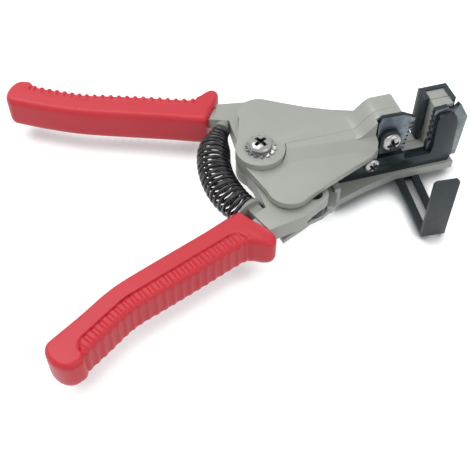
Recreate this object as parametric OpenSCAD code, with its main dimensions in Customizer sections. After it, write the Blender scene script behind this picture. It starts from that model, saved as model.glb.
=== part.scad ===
/* [Layout] */
// Height of the underside of the two frames
under_z = 3.8; // [3.4:0.1:5]
// Play between two flat faces that slide on each other
layer_gap = 0.1; // [0.06:0.01:0.2]
// Play of a pin in its hole, on the radius
pin_gap = 0.05; // [0.02:0.01:0.1]
// Shift of the line where the two plates meet, towards the cutting side
parting_shift = 0.6; // [0.2:0.1:1.2]

/* [Levers] */
// Height of the underside of the levers
lever_z = 14.5; // [13.8:0.1:15.5]
// Thickness of a lever
lever_t = 6.9; // [6:0.1:8]
// Thickness of one of the two hub rings that lie on each other
hub_t = 3.8; // [3.4:0.1:3.9]
// Radius of the hub rings
hub_r = 9.2; // [8.6:0.1:9.4]
// Distance along the tool from the pivot to the lever's eye
eye_x = 13.8; // [13:0.1:14.6]
// Distance across the tool from the pivot to the lever's eye
eye_y = 22.6; // [21.8:0.1:23.6]
// Radius of the rounded end round the eye
eye_r = 5.1; // [4.6:0.1:5.4]
// Thickness of the finger that holds the eye
finger_t = 4; // [3:0.1:5]
// Radius of the pin in the eye
eye_pin_r = 2.4; // [2:0.1:2.8]
// Radius of the roller under the eye
roller_r = 4.5; // [3.8:0.1:4.8]

/* [Grips] */
// Length of the straight part of a grip
grip_l = 57.6; // [50:0.1:62]
// Length of the bent part of a grip, to the middle of its round butt
butt_l = 22.6; // [18:0.1:26]
// Angle by which the butt is bent outward
butt_bend = 11; // [6:0.5:14]
// Width of a grip
grip_w = 13.4; // [12.4:0.1:14]
// Width of the flared guard at the head of a grip
guard_w = 17; // [15:0.1:18.5]
// Distance along the tool from the pivot to the head of a grip
head_x = 9.2; // [8.6:0.1:10]
// Distance across the tool from the pivot to the head of a grip
head_y = 29.7; // [29.2:0.1:31]
// Thickness of a grip
grip_t = 14.4; // [13:0.1:16]
// Height of the underside of the grips
grip_z = 8.3; // [7.5:0.1:9]
// Angle between the straight part of a grip and the line of the tool
grip_angle = 21.2; // [20:0.1:22.4]
// Rounding of the two upper edges of a grip
grip_top_r = 2.2; // [1.5:0.1:3]
// Number of grooves on the outer side of a grip
rib_count = 14; // [8:1:16]
// Rounding of the two lower edges of a grip
grip_low_r = 4.6; // [3:0.1:5.4]

/* [Plates] */
// Thickness of the plate under the round boss
plate_t = 2.5; // [2:0.1:3]
// Radius of the round boss at the pivot
boss_r = 9.4; // [9:0.1:10.5]
// Distance from the pivot to the plates' blunt front end
plate_l = 44; // [42:0.5:46]
// Reach of the lower plate's lobe across the tool
near_lobe_y = 28; // [26:0.1:30]
// Reach of the upper plate's lobe across the tool
far_lobe_y = 26.5; // [25:0.1:28]
// Radius of the lobes
lobe_r = 8.2; // [7.5:0.1:9]

/* [Jaws] */
// Height of the floor of the mouth
mouth_z = 13.3; // [12:0.1:14]
// Height of the towers that carry the front jaws
tower_z = 34; // [32:0.5:37]
// Height of the raised ends that carry the rear jaws
raised_z = 34.6; // [33:0.1:38]
// Step from the plates' blunt end to the block of the rear jaws
block_step = 1; // [0.8:0.1:2]
// Length of the block of the rear jaws
block_l = 10; // [9:0.1:10.6]
// Overhang of the rear cutting edge past its block
rear_over = 4.3; // [3.6:0.1:4.6]
// Length of a tower
tower_l = 7.8; // [7:0.1:8.4]
// Length of the frames in front of the towers
nose_l = 3; // [2.4:0.1:5]
// Width of the cutting tower
near_w = 4.2; // [3.6:0.1:4.4]
// Width of the gripping tower
far_w = 4.8; // [4.4:0.1:5.4]
// Travel of the front jaws when they close
jaw_travel = 7.4; // [6:0.1:7.5]
// Width of the raised end on the gripping side
far_block_y = 7; // [6.2:0.1:7.6]
// Opening between the two blades
blade_gap = 7.7; // [7.7:0.1:8.2]
// Opening between the two gripping pads
grip_gap = 7.6; // [7.6:0.1:8]

/* [Blades] */
// Thickness of a blade
blade_t = 2; // [1.6:0.1:2.2]
// Thickness of a blade clamp
clamp_t = 2.4; // [2:0.1:2.6]
// Overhang of the front cutting edge past its tower
blade_over = 0.8; // [0.6:0.1:1]
// Number of notches in the front blade
notch_count = 5; // [3:1:5]
// Spacing of the lowest notches
notch_pitch = 3.8; // [3.4:0.1:3.9]
// Radius of the largest notch
notch_max_r = 1.3; // [1:0.05:1.4]
// Radius of the smallest notch
notch_min_r = 0.65; // [0.5:0.05:0.8]
// Height of the lowest notch
notch_z = 18.6; // [18.4:0.1:19]
// Radius of a blade screw's head
screw_head_r = 3.9; // [3.5:0.1:4]
// Height of a blade screw's head
screw_head_h = 2.4; // [2:0.1:2.8]
// Distance of the rear blade's screw from the back of its block
rear_screw_in = 4.4; // [4:0.1:5]
// Height of the rear blade's screw
rear_screw_z = 25; // [24.4:0.1:26]
// Distance of the front blade's screw behind its tower
front_screw_back = 25.2; // [25.2:0.1:26.4]
// Height of the front blade's screw
front_screw_z = 14.6; // [14:0.1:14.8]
// Radius of a blade screw's shank
screw_r = 1.5; // [1.2:0.1:1.5]

/* [Gripping pads] */
// Thickness of a pad behind its teeth
pad_t = 2; // [1.6:0.1:2]
// Depth of the teeth
tooth_h = 0.5; // [0.3:0.05:0.6]
// Distance of the rear pad's screw from the back of its block
rear_pad_screw_in = 6.4; // [6:0.1:6.8]
// Height of the two pad screws
pad_screw_z = 21; // [20:0.5:23]
// Spacing of the teeth
tooth_pitch = 1.5; // [1.2:0.1:2]

/* [Frames] */
// Thickness of the ledge under the blades
ledge_t = 3.5; // [3:0.1:4]
// Reach of the ledge across the tool
ledge_y = 9.9; // [9.4:0.1:10.5]
// Underside of the rear wings
wing_z = 10.5; // [9.8:0.1:10.9]
// Thickness of a wing's floor
wing_t = 2.1; // [1.8:0.1:2.4]
// Radius of a guide pin
guide_r = 1.5; // [1.2:0.1:1.6]
// Spacing of the two guide pins, as a share of the sliding block's length
guide_pitch_share = 0.272; // [0.24:0.002:0.276]
// Distance of the first guide pin from the back of the sliding block, as a share of its length
guide_start_share = 0.153; // [0.134:0.001:0.172]
// Distance across the tool to the guide pins
guide_y = 5.2; // [4.8:0.1:5.6]
// Floor of the guide slots
guide_z = 17.8; // [17.5:0.1:18.6]
// Thickness of the riser between the ledge and the wing
riser_t = 2.5; // [2:0.1:2.6]

/* [Pivot] */
// Radius of the pivot screw's shank
pivot_r = 3; // [2.5:0.1:3.2]
// Radius of the pivot screw's head
pivot_head_r = 4.4; // [4:0.1:4.6]
// Height of the pivot screw's head
pivot_head_h = 2.4; // [2:0.1:3]
// Outer radius of the toothed washer
washer_r = 5.9; // [5.4:0.1:6.2]
// Thickness of the toothed washer
washer_t = 0.9; // [0.6:0.1:1.2]
// Number of teeth on the washer
washer_teeth = 12; // [9:1:15]
// Radius of the pivot nut across its corners
nut_r = 5.8; // [5.2:0.1:6]
// Height of the pivot nut
nut_h = 3.8; // [3.2:0.1:4]

/* [Wire stop] */
// Thickness of the stop's sheet
stop_t = 1.6; // [1.2:0.1:1.6]
// Width of the stop's upright plate
stop_w = 9.6; // [9:0.1:10]
// Height of the stop's upright plate
stop_h = 29.5; // [26:0.5:33]
// Distance from the middle of the tool to the upright plate
stop_y = 39.5; // [38:0.5:41]
// Distance of the stop's middle behind the towers
stop_back = 8; // [7.6:0.1:9]
// Angle by which the stop is turned on its clamp screw
stop_turn = 5; // [0:0.5:6]
// Distance across the tool to the stop's clamp screw
stop_screw_y = 5.6; // [5:0.1:6]
// Width of one leg
leg_w = 3.1; // [2.8:0.1:3.2]

/* [Handle spring] */
// Diameter of the spring wire
wire_d = 1.4; // [1.1:0.05:1.4]
// Outer diameter of the spring's belly
belly_d = 13.2; // [12.5:0.1:13.4]
// Outer diameter of the spring's narrow end
narrow_d = 7; // [6.6:0.1:8]
// Outer diameter of the spring's wide end
wide_d = 12; // [10.5:0.1:12.4]
// Number of curls
curls = 20; // [16:1:20]
// How far the spring bows away from the pivot
spring_bow = 7; // [6.6:0.1:8]
// Share of the length over which the spring swells from its narrow end
swell_share = 0.3; // [0.2:0.01:0.4]
// Height of the upper spring seat at its middle
top_seat_h = 2.5; // [2.4:0.1:3]
// Height of the lower spring seat at its middle
low_seat_h = 1.8; // [1.7:0.1:2.4]
// Distance of the spring from the grip's head
seat_back = 3; // [2.6:0.1:3.2]

/* [Hidden] */

// Overrun of a cut past the face that it opens, as a share of the lever's thickness
over = lever_t * 0.1;
round_fn = 64;
// Flats round a quarter of a grip's edge
corner_steps = 4;

// Levels
lever_top = lever_z + lever_t;
hub_split = lever_z + hub_t;
upper_hub_z = lever_z;
lower_hub_z = hub_split + layer_gap;
hub_top = lower_hub_z + hub_t;
plate_z = hub_top + layer_gap;
plate_top = plate_z + plate_t;
boss_z = plate_top + layer_gap;
boss_top = boss_z + plate_t;
ledge_top = under_z + ledge_t;
wing_floor = wing_z + wing_t;
wing_top = lever_z - 2 * layer_gap;
finger_z = lever_top - finger_t;
roller_z = wing_floor + 2 * layer_gap;
roller_h = finger_z - 2 * layer_gap - roller_z;
block_z = mouth_z + 2 * layer_gap;
bar_z = ledge_top + layer_gap;
bar_top = bar_z + 0.705 * mouth_z;
blade_low = bar_top + 2 * layer_gap;
leg_z = under_z - layer_gap - stop_t;
stop_head_h = (leg_z - layer_gap) / 2;
moving_play = 3 * layer_gap;

// Directions and places of the grips, for the lower one
grip_c = cos(grip_angle);
grip_s = sin(grip_angle);
grip_in = 0.515 * grip_w;
grip_out = grip_w - grip_in;
guard_out = guard_w - grip_in;
guard_l = 0.17 * grip_l;
guard_flare = 0.03 * grip_w;
butt_r = 0.535 * grip_w;
bend_lap = 1.3 * grip_in * tan(butt_bend / 2);
arm_in = 0.31 * grip_w;
arm_out = 0.37 * grip_w;
arm_reach = 0.1 * grip_l;
tang_w = 0.45 * grip_w;
tang_t = 0.7 * lever_t;
tang_z = lever_z + (lever_t - tang_t) / 2;
tang_l = 1.05 * grip_l;

function grip_at(u, v) = [-head_x - u * grip_c + v * grip_s, -head_y - u * grip_s - v * grip_c];

// Places along the tool
block_x = plate_l + block_step;
block_end = block_x + block_l;
step_x = block_x - moving_play;
wall_x = 0.557 * plate_l;
slide_l = step_x - wall_x;
guide_x = wall_x + guide_start_share * slide_l;
guide_pitch = guide_pitch_share * slide_l;
wall_gap = 1.5 * layer_gap;
rear_edge_x = block_end + rear_over;
front_edge_x = rear_edge_x + blade_gap;
tower_x = front_edge_x + blade_over;
frame_l = tower_x + tower_l + nose_l;
stop_x = tower_x - stop_back;
front_screw_x = tower_x - front_screw_back;
rear_screw_x = block_x + rear_screw_in;
rear_pad_screw_x = block_x + rear_pad_screw_in;
blade_end_x = tower_x + tower_l + 2.2 * nose_l;
front_face_x = tower_x - pad_t - tooth_h;
rear_face_x = front_face_x - grip_gap;
parting_low = -parting_shift - layer_gap / 2;
parting_high = -parting_shift + layer_gap / 2;
near_face = near_w + blade_t;
clamp_face = near_face + clamp_t;
block_y = clamp_face;
guide_top = plate_z + 0.6 * plate_t;
butt_angle = grip_angle + butt_bend;
back_reach = head_x + grip_l * grip_c + butt_l * cos(butt_angle)
    + (grip_in - grip_out) / 2 * sin(butt_angle) + butt_r;
pivot_x = (back_reach - blade_end_x) / 2;

module metal() color([0.69, 0.70, 0.67]) children();
module steel() color([0.53, 0.54, 0.58]) children();
module black() color([0.17, 0.19, 0.21]) children();
module bright() color([0.80, 0.80, 0.80]) children();
module red() color([0.86, 0.27, 0.32]) children();

module tool_place() translate([pivot_x, 0, 0]) children();

// What is drawn for the lower handle or the cutting side, on the other side of the middle
module other_side() mirror([0, 1, 0]) children();

module grip_place() translate([-head_x, -head_y, 0]) rotate([0, 0, 180 + grip_angle]) children();

// A flat shape drawn along the tool and upward, with its back face at the distance near
module upright_plate(near, thick)
    translate([0, -near, 0]) rotate([90, 0, 0]) linear_extrude(thick) children();

// A round bar that lies across the tool and points at the viewer of the cutting side
module cross_pin(x, z, near, length, r)
    translate([x, -near, z]) rotate([90, 0, 0]) cylinder(r = r, h = length, $fn = round_fn);

// The vinyl grips

// A quarter of a corner, as points from the angle start on, round the middle (v, z)
function corner(v, z, r, start) = [for (k = [0 : corner_steps])
    [v + r * cos(start + 90 * k / corner_steps), z + r * sin(start + 90 * k / corner_steps)]];

module rounded_section(low_v, high_v, low_z, high_z, top_r, low_r) polygon(concat(
    corner(high_v - top_r, high_z - top_r, top_r, 0), corner(low_v + top_r, high_z - top_r, top_r, 90),
    corner(low_v + low_r, low_z + low_r, low_r, 180), corner(high_v - low_r, low_z + low_r, low_r, 270)));

module rounded_bar(start, end, low_v, high_v, low_z, high_z, top_r, low_r)
    translate([start, 0, 0]) rotate([90, 0, 90]) linear_extrude(end - start)
        rounded_section(low_v, high_v, low_z, high_z, top_r, low_r);

module grip_bar(start, end)
    rounded_bar(start, end, -grip_in, grip_out, grip_z, grip_z + grip_t, grip_top_r, grip_low_r);

module grip_guard() intersection() {
    rounded_bar(0, guard_l, -grip_in - guard_flare, guard_out, grip_z - guard_flare,
                grip_z + grip_t + guard_flare, 2 * grip_top_r, 1.2 * grip_low_r);
    linear_extrude(2 * grip_t)
        polygon([[0, -grip_w], [0, guard_w], [guard_l * 0.3, guard_out],
                 [guard_l * 0.55, guard_out * 0.86], [guard_l, grip_out * 0.9], [guard_l, -grip_in * 0.9],
                 [guard_l * 0.5, -grip_in - guard_flare], [guard_l * 0.3, -grip_w]]);
}

module butt_end() translate([0, (grip_out - grip_in) / 2, 0])
    rotate_extrude($fn = round_fn) intersection() {
        rounded_section(-butt_r, butt_r, grip_z, grip_z + grip_t, grip_top_r, grip_low_r);
        square([butt_r, grip_z + grip_t]);
    }

module grip_ribs() {
    groove_r = grip_top_r * 0.6;
    for (i = [0 : rib_count - 1])
        translate([guard_l * 1.35 + i * (grip_l - guard_l * 1.4) / rib_count,
                   grip_out + groove_r * 0.62, grip_z])
            cylinder(r = groove_r, h = grip_t, $fn = round_fn);
}

module grip() grip_place() difference() {
    union() {
        grip_bar(0, grip_l + bend_lap);
        translate([grip_l, 0, 0]) rotate([0, 0, butt_bend]) {
            grip_bar(-bend_lap, butt_l);
            translate([butt_l, 0, 0]) butt_end();
        }
        grip_guard();
    }
    translate([-over, -tang_w / 2, tang_z]) cube([tang_l + over, tang_w, tang_t]);
    grip_ribs();
}

module upper_grip() red() tool_place() other_side() grip();

module lower_grip() red() tool_place() grip();

// The handle levers with their eyes and rollers

// Left edge of the web, then the step before the finger, as shares of the eye's place
web_shares = [[-0.56, 0.18], [-0.42, 0.44]];
web_end_shares = [[0.58, 1.4], [0.58, 0.74], [0.62, 0.13]];
finger_shares = [[0.56, 1.4], [0.7, 1.345], [1.2, 1.18], [1.0, 1.0], [0.9, 0.79], [0.56, 0.74]];

module lever_plan() {
    polygon(concat(
        [for (s = web_shares) [s[0] * eye_x, -s[1] * eye_y]],
        [grip_at(-arm_reach, -arm_in), grip_at(0, -arm_in), grip_at(0, arm_out)],
        [for (s = web_end_shares) [s[0] * eye_x, -s[1] * eye_y]]));
}

module lever(hub_z, other_hub_z) difference() {
    union() {
        translate([0, 0, hub_z]) cylinder(r = hub_r, h = hub_t, $fn = round_fn);
        difference() {
            union() {
                translate([0, 0, lever_z]) linear_extrude(lever_t) lever_plan();
                translate([0, 0, finger_z]) linear_extrude(finger_t) {
                    polygon([for (s = finger_shares) [s[0] * eye_x, -s[1] * eye_y]]);
                    translate([eye_x, -eye_y]) circle(r = eye_r, $fn = round_fn);
                }
            }
            translate([0, 0, other_hub_z - layer_gap])
                cylinder(r = hub_r + moving_play, h = hub_t + 2 * layer_gap, $fn = round_fn);
        }
        grip_place() translate([-arm_reach / 2, -tang_w / 2, tang_z])
            cube([tang_l + arm_reach / 2, tang_w, tang_t]);
    }
    translate([0, 0, lever_z - over])
        cylinder(r = pivot_r + pin_gap, h = hub_top - lever_z + 2 * over, $fn = round_fn);
    translate([eye_x, -eye_y, finger_z - over])
        cylinder(r = eye_pin_r + pin_gap, h = finger_t + 2 * over, $fn = round_fn);
    translate([eye_x, -eye_y, finger_z + finger_t / 2])
        cylinder(r = 1.2 * eye_pin_r, h = finger_t, $fn = round_fn);
}

module upper_lever() metal() tool_place() other_side() lever(upper_hub_z, lower_hub_z);

module lower_lever() metal() tool_place() lever(lower_hub_z, upper_hub_z);

module eye_pin()
    translate([eye_x, -eye_y, roller_z]) cylinder(r = eye_pin_r, h = finger_z + finger_t / 2 - roller_z,
                                                  $fn = round_fn);

module upper_eye_pin() steel() tool_place() other_side() eye_pin();

module lower_eye_pin() steel() tool_place() eye_pin();

module roller() translate([eye_x, -eye_y, roller_z]) difference() {
    cylinder(r = roller_r, h = roller_h, $fn = round_fn);
    translate([0, 0, -over]) cylinder(r = eye_pin_r + pin_gap, h = roller_h + 2 * over, $fn = round_fn);
}

module upper_roller() steel() tool_place() other_side() roller();

module lower_roller() steel() tool_place() roller();

// The two upper plates with the raised ends

// Outlines of the two plates, as shares of their length and of their lobe's reach
near_plate_shares = [[-0.175, 0.19], [-0.077, 0.70], [0.205, 0.955], [0.436, 0.782], [0.707, 0.607],
                     [0.893, 0.493], [0.973, 0.393], [1, 0.314]];
far_plate_shares = [[-0.175, 0.19], [-0.068, 0.66], [0.225, 0.945], [0.366, 0.796], [0.527, 0.634],
                    [0.727, 0.472], [0.936, 0.343], [1, 0.325]];
strip_y = 0.62 * near_w;
near_lobe_x = 0.109 * plate_l;
far_lobe_x = 0.118 * plate_l;
// Foot and top of the raised end's soft ramp, as shares of the block's place
ramp_shares = [0.8, 1.02];
ramp_steps = 10;
ramp_foot_x = ramp_shares[0] * block_x;
ramp_l = (ramp_shares[1] - ramp_shares[0]) * block_x;
// The cheek that the ramp has beside the rear blade ends just behind it
cheek_x = plate_l * 0.995;
strip_angle = 4.8;
strip_slope = 1.8 * plate_t;

function soft(t) = t <= 0 ? 0 : t >= 1 ? 1 : t * t * (3 - 2 * t);
function ramp_z(x) = boss_top + soft((x - ramp_foot_x) / ramp_l) * (raised_z - boss_top);

module raised_end(low_y, high_y) upright_plate(-high_y, high_y - low_y)
    polygon(concat([[block_x, plate_z], [block_x, block_z], [block_end, block_z],
                    [block_end, raised_z - 0.1 * block_l], [block_end - 0.1 * block_l, raised_z]],
                   [for (i = [ramp_steps : -1 : 0]) let (x = ramp_foot_x + ramp_l * i / ramp_steps)
                       [x, ramp_z(x)]],
                   [[ramp_foot_x, plate_z]]));

module ramp_cheek() upright_plate(near_w * 0.9, near_face - near_w * 0.9)
    polygon(concat([[cheek_x, plate_z + plate_t / 2]],
                   [for (i = [ramp_steps : -1 : 0])
                       let (x = ramp_foot_x + (cheek_x - ramp_foot_x) * i / ramp_steps) [x, ramp_z(x)]],
                   [[ramp_foot_x, plate_z + plate_t / 2]]));

module near_outline() polygon(concat([[0, parting_low]],
    [for (s = near_plate_shares) [s[0] * plate_l, -s[1] * near_lobe_y]], [[plate_l, parting_low]]));

// The raised strip beside the parting slopes down to the plate
module raised_strip() intersection() {
    translate([0, 0, plate_z]) linear_extrude(boss_top - plate_z) near_outline();
    translate([0, -strip_y, 0]) rotate([0, 0, -strip_angle]) rotate([90, 0, 90])
        linear_extrude(1.1 * plate_l)
            polygon([[2 * near_w, plate_z + plate_t / 2], [2 * near_w, boss_top + over], [0, boss_top + over],
                     [0, boss_top], [-1.1 * strip_slope, boss_top - 1.1 * (boss_top - plate_top)],
                     [-1.1 * strip_slope, plate_z + plate_t / 2]]);
}

module guide_places() for (i = [0, 1])
    translate([guide_x + i * guide_pitch, -guide_y, 0]) children();

module plate_holes() {
    translate([0, 0, plate_z - over])
        cylinder(r = pivot_r + pin_gap, h = boss_top - plate_z + 2 * over, $fn = round_fn);
}

module guide_holes() guide_places() translate([0, 0, plate_z - over])
    cylinder(r = guide_r + pin_gap, h = guide_top - plate_z + layer_gap + over, $fn = round_fn);

module cutter_plate() metal() tool_place() difference() {
    union() {
        translate([0, 0, plate_z]) linear_extrude(plate_t) {
            circle(r = boss_r, $fn = round_fn);
            translate([near_lobe_x, lobe_r - near_lobe_y]) circle(r = lobe_r, $fn = round_fn);
            near_outline();
        }
        difference() {
            raised_strip();
            translate([0, 0, plate_top])
                cylinder(r = boss_r + moving_play, h = boss_top - plate_top + over, $fn = round_fn);
        }
        raised_end(-near_w, parting_low);
        ramp_cheek();
    }
    plate_holes();
    guide_holes();
    cross_pin(rear_screw_x, rear_screw_z, 0, near_w + over, screw_r + pin_gap);
}

module gripper_plate() metal() tool_place() difference() {
    union() {
        translate([0, 0, boss_z]) cylinder(r = boss_r, h = boss_top - boss_z, $fn = round_fn);
        difference() {
            translate([0, 0, plate_z]) linear_extrude(boss_top - plate_z) {
                translate([far_lobe_x, far_lobe_y - lobe_r]) circle(r = lobe_r, $fn = round_fn);
                polygon(concat([[0, parting_high]],
                               [for (s = far_plate_shares) [s[0] * plate_l, s[1] * far_lobe_y]],
                               [[plate_l, parting_high]]));
            }
            translate([0, 0, plate_z - over])
                cylinder(r = boss_r + moving_play, h = boss_z - plate_z + over, $fn = round_fn);
        }
        raised_end(parting_high, far_block_y);
    }
    plate_holes();
    other_side() guide_holes();
    other_side() cross_pin(rear_pad_screw_x, pad_screw_z, far_block_y * 0.25, far_block_y, screw_r + pin_gap);
}

module guide_pins() guide_places() translate([0, 0, guide_z + layer_gap])
    cylinder(r = guide_r, h = guide_top - guide_z - layer_gap, $fn = round_fn);

module gripper_guide_pins() steel() tool_place() other_side() guide_pins();

module cutter_guide_pins() steel() tool_place() guide_pins();

// The two sliding frames

// Outline of the ledge's slanted rear part, as shares of its length and its reach
ledge_shares = [[0, 1.72], [0.045, 1.68], [0.282, 1.3], [0.54, 1]];
// Outline of a wing, as shares of the eye's place
wing_shares = [[1.65, 1.03], [1.38, 1.1], [1.18, 1.17], [0.79, 1.23], [0.46, 1.33],
               [0.1, 1.42], [-0.1, 1.48], [-0.14, 1.36], [0.1, 0.95], [0.45, 0.72]];
wing_end_shares = [0.2, 0.7];
rim_t = 0.5 * roller_r;
rim_half = roller_r + moving_play;

module wing() {
    translate([0, 0, wing_z]) linear_extrude(wing_t)
        polygon(concat([for (s = wing_shares) [s[0] * eye_x, -s[1] * eye_y]],
                       [for (s = wing_end_shares) [wall_x + 0.7 * riser_t, -s * eye_y]]));
    translate([eye_x - rim_half - rim_t, -1.24 * eye_y, wing_z])
        cube([rim_t, 0.45 * eye_y, wing_top - wing_z]);
    translate([eye_x + rim_half, -1.08 * eye_y, wing_z])
        cube([rim_t, 0.4 * eye_y, wing_top - wing_z]);
    translate([wall_x, -ledge_y * 1.72, under_z])
        cube([riser_t, ledge_y * 1.72 - wall_gap, wing_top - under_z]);
}

module guide_slot() translate([guide_x, -guide_y, guide_z]) linear_extrude(hub_top - guide_z + over) {
    slot_half = guide_r + pin_gap;
    slot_end = guide_pitch + jaw_travel + moving_play;
    translate([-moving_play, -slot_half]) square([slot_end + moving_play, 2 * slot_half]);
    for (x = [-moving_play, slot_end]) translate([x, 0]) circle(r = slot_half, $fn = round_fn);
}

module frame_half(width) difference() {
    union() {
        translate([wall_x, -width, under_z])
            cube([frame_l - wall_x, width - wall_gap, mouth_z - under_z]);
        translate([wall_x, -width, under_z])
            cube([step_x - wall_x, width - wall_gap, hub_top - under_z]);
        translate([wall_x, -block_y, blade_low])
            cube([step_x - wall_x, block_y - wall_gap, hub_top - blade_low]);
        translate([tower_x, -width, under_z])
            cube([tower_l, width - wall_gap, tower_z - under_z]);
        translate([0, 0, under_z]) linear_extrude(ledge_t)
            polygon(concat([[wall_x, -wall_gap]],
                           [for (s = ledge_shares) [wall_x + s[0] * (frame_l - wall_x), -s[1] * ledge_y]],
                           [[frame_l, -ledge_y], [frame_l, -wall_gap]]));
        wing();
    }
    guide_slot();
}

module cutter_frame() metal() tool_place() difference() {
    frame_half(near_w);
    cross_pin(front_screw_x, front_screw_z, 0, near_w + over, screw_r + pin_gap);
    translate([stop_x, -stop_screw_y, under_z - over])
        cylinder(r = screw_r + pin_gap, h = ledge_t + over, $fn = round_fn);
}

module gripper_frame() metal() tool_place() other_side() difference() {
    frame_half(far_w);
    cross_pin(tower_x + tower_l / 2, pad_screw_z, far_w * 0.3, far_w, screw_r + pin_gap);
}

// The pivot screw with its washer and nut

module dome(r, h) intersection() {
    ball_r = (r * r + h * h) / (2 * h);
    cylinder(r = r, h = h, $fn = round_fn);
    translate([0, 0, h - ball_r]) sphere(r = ball_r, $fn = round_fn);
}

module cross_recess(r, depth) for (a = [0, 90])
    rotate([0, 0, a]) translate([-r * 0.55, -r * 0.11, -depth]) cube([r * 1.1, r * 0.22, depth + over]);

washer_z = boss_top + layer_gap;
nut_z = lever_z - layer_gap - nut_h;

module pivot_screw() bright() tool_place() difference() {
    union() {
        translate([0, 0, nut_z]) cylinder(r = pivot_r, h = washer_z + washer_t - nut_z, $fn = round_fn);
        translate([0, 0, washer_z + washer_t]) {
            cylinder(r = pivot_head_r, h = pivot_head_h * 0.3, $fn = round_fn);
            translate([0, 0, pivot_head_h * 0.3]) dome(pivot_head_r, pivot_head_h * 0.7);
        }
    }
    translate([0, 0, washer_z + washer_t + pivot_head_h]) rotate([0, 0, 20])
        cross_recess(pivot_head_r, pivot_head_h * 0.6);
}

module star_washer() bright() tool_place() translate([0, 0, washer_z]) linear_extrude(washer_t)
    difference() {
        union() {
            circle(r = washer_r * 0.84, $fn = round_fn);
            for (i = [0 : washer_teeth - 1]) rotate([0, 0, i * 360 / washer_teeth])
                polygon([[washer_r * 0.7, -washer_r * 0.16], [washer_r, -washer_r * 0.1],
                         [washer_r, washer_r * 0.1], [washer_r * 0.7, washer_r * 0.16]]);
        }
        circle(r = pivot_r + pin_gap, $fn = round_fn);
    }

module pivot_nut() bright() tool_place() translate([0, 0, nut_z]) linear_extrude(nut_h) difference() {
    circle(r = nut_r, $fn = 6);
    circle(r = pivot_r + pin_gap, $fn = round_fn);
}

// The blades, their clamps and screws

function notch_height(i) = notch_z + i * notch_pitch * (1 - 0.05 * i);
function notch_size(i) = notch_max_r + (notch_min_r - notch_max_r) * i / (notch_count - 1);

module front_blade() steel() tool_place() upright_plate(near_w, blade_t) difference() {
    polygon([[front_edge_x, ledge_top], [blade_end_x * 0.99, ledge_top],
             [blade_end_x, tower_z * 0.8], [blade_end_x * 0.952, tower_z * 0.995],
             [blade_end_x * 0.944, tower_z * 1.01], [front_edge_x * 1.08, tower_z * 1.01],
             [front_edge_x * 1.006, tower_z * 0.992], [front_edge_x, tower_z * 0.93]]);
    for (i = [0 : notch_count - 1])
        translate([front_edge_x, notch_height(i)]) circle(r = notch_size(i), $fn = round_fn);
    translate([tower_x + 0.9 * tower_l, tower_z * 1.03]) circle(r = blade_t * 1.2, $fn = round_fn);
}

bar_x = 0.373 * frame_l;
bar_step_x = 0.945 * rear_edge_x;
upright_x = tower_x + blade_over;

module front_blade_clamp() black() tool_place() difference() {
    union() {
        upright_plate(near_w, blade_t + clamp_t)
            polygon([[bar_x, bar_z * 1.17], [bar_x * 1.05, bar_z], [upright_x - blade_over * 2.5, bar_z],
                     [upright_x - blade_over * 2.5, mouth_z], [bar_step_x * 1.02, mouth_z],
                     [bar_step_x, bar_top], [bar_x * 1.2, bar_top], [bar_x * 1.03, bar_top * 0.85]]);
        upright_plate(near_face, clamp_t)
            polygon([[upright_x - blade_over * 3, bar_z], [frame_l * 0.975, bar_z],
                     [frame_l * 0.987, bar_top * 0.64], [frame_l * 0.977, tower_z * 0.82],
                     [frame_l * 0.962, tower_z * 0.91], [frame_l * 0.941, tower_z * 0.947],
                     [upright_x * 1.02, tower_z * 0.953], [upright_x, tower_z * 0.94],
                     [upright_x - blade_over * 0.8, tower_z * 0.88], [upright_x, bar_top],
                     [upright_x - blade_over, mouth_z], [upright_x - blade_over * 3, mouth_z]]);
    }
    cross_pin(front_screw_x, front_screw_z, near_w - over, blade_t + clamp_t + 2 * over,
              screw_r + pin_gap);
}

rear_notches = 6;
rear_notch_pitch = notch_pitch * 0.54;

module rear_blade() steel() tool_place() upright_plate(near_w, blade_t) difference() {
    low_edge_x = rear_edge_x * 0.965;
    top_z = raised_z * 0.935;
    polygon([[block_x, blade_low], [low_edge_x, blade_low], [rear_edge_x, top_z],
             [block_end * 0.99, raised_z * 1.015], [block_x * 1.013, raised_z * 1.023],
             [block_x * 0.985, raised_z * 0.94], [block_x, plate_z]]);
    for (i = [1 : rear_notches])
        translate([rear_edge_x - (rear_edge_x - low_edge_x) * i * rear_notch_pitch / (top_z - blade_low),
                   top_z - i * rear_notch_pitch])
            polygon([[over, -0.45 * rear_notch_pitch], [over, 0.6 * rear_notch_pitch],
                     [-0.9 * blade_t, -0.3 * rear_notch_pitch]]);
    translate([rear_screw_x, rear_screw_z]) circle(r = screw_r + pin_gap, $fn = round_fn);
}

module rear_blade_clamp() black() tool_place() upright_plate(near_face, clamp_t - layer_gap)
    translate([rear_screw_x, rear_screw_z]) difference() {
        half_w = screw_head_r * 1.12;
        half_h = screw_head_r * 1.6;
        union() {
            translate([-half_w, -half_h]) square([2 * half_w, half_h]);
            circle(r = half_w, $fn = round_fn);
        }
        circle(r = screw_r + pin_gap, $fn = round_fn);
    }

module pan_screw(x, z, face, depth, head_r = screw_head_r) {
    cross_pin(x, z, face - depth, depth, screw_r);
    translate([x, -face, z]) rotate([90, 0, 0]) difference() {
        union() {
            cylinder(r = head_r, h = screw_head_h * 0.4, $fn = round_fn);
            translate([0, 0, screw_head_h * 0.4]) dome(head_r, screw_head_h * 0.6);
        }
        translate([0, 0, screw_head_h]) rotate([0, 0, 15]) cross_recess(head_r, screw_head_h * 0.6);
    }
}

module front_blade_screw() bright() tool_place()
    pan_screw(front_screw_x, front_screw_z, clamp_face, clamp_face - near_w * 0.3, screw_head_r * 0.82);

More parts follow.
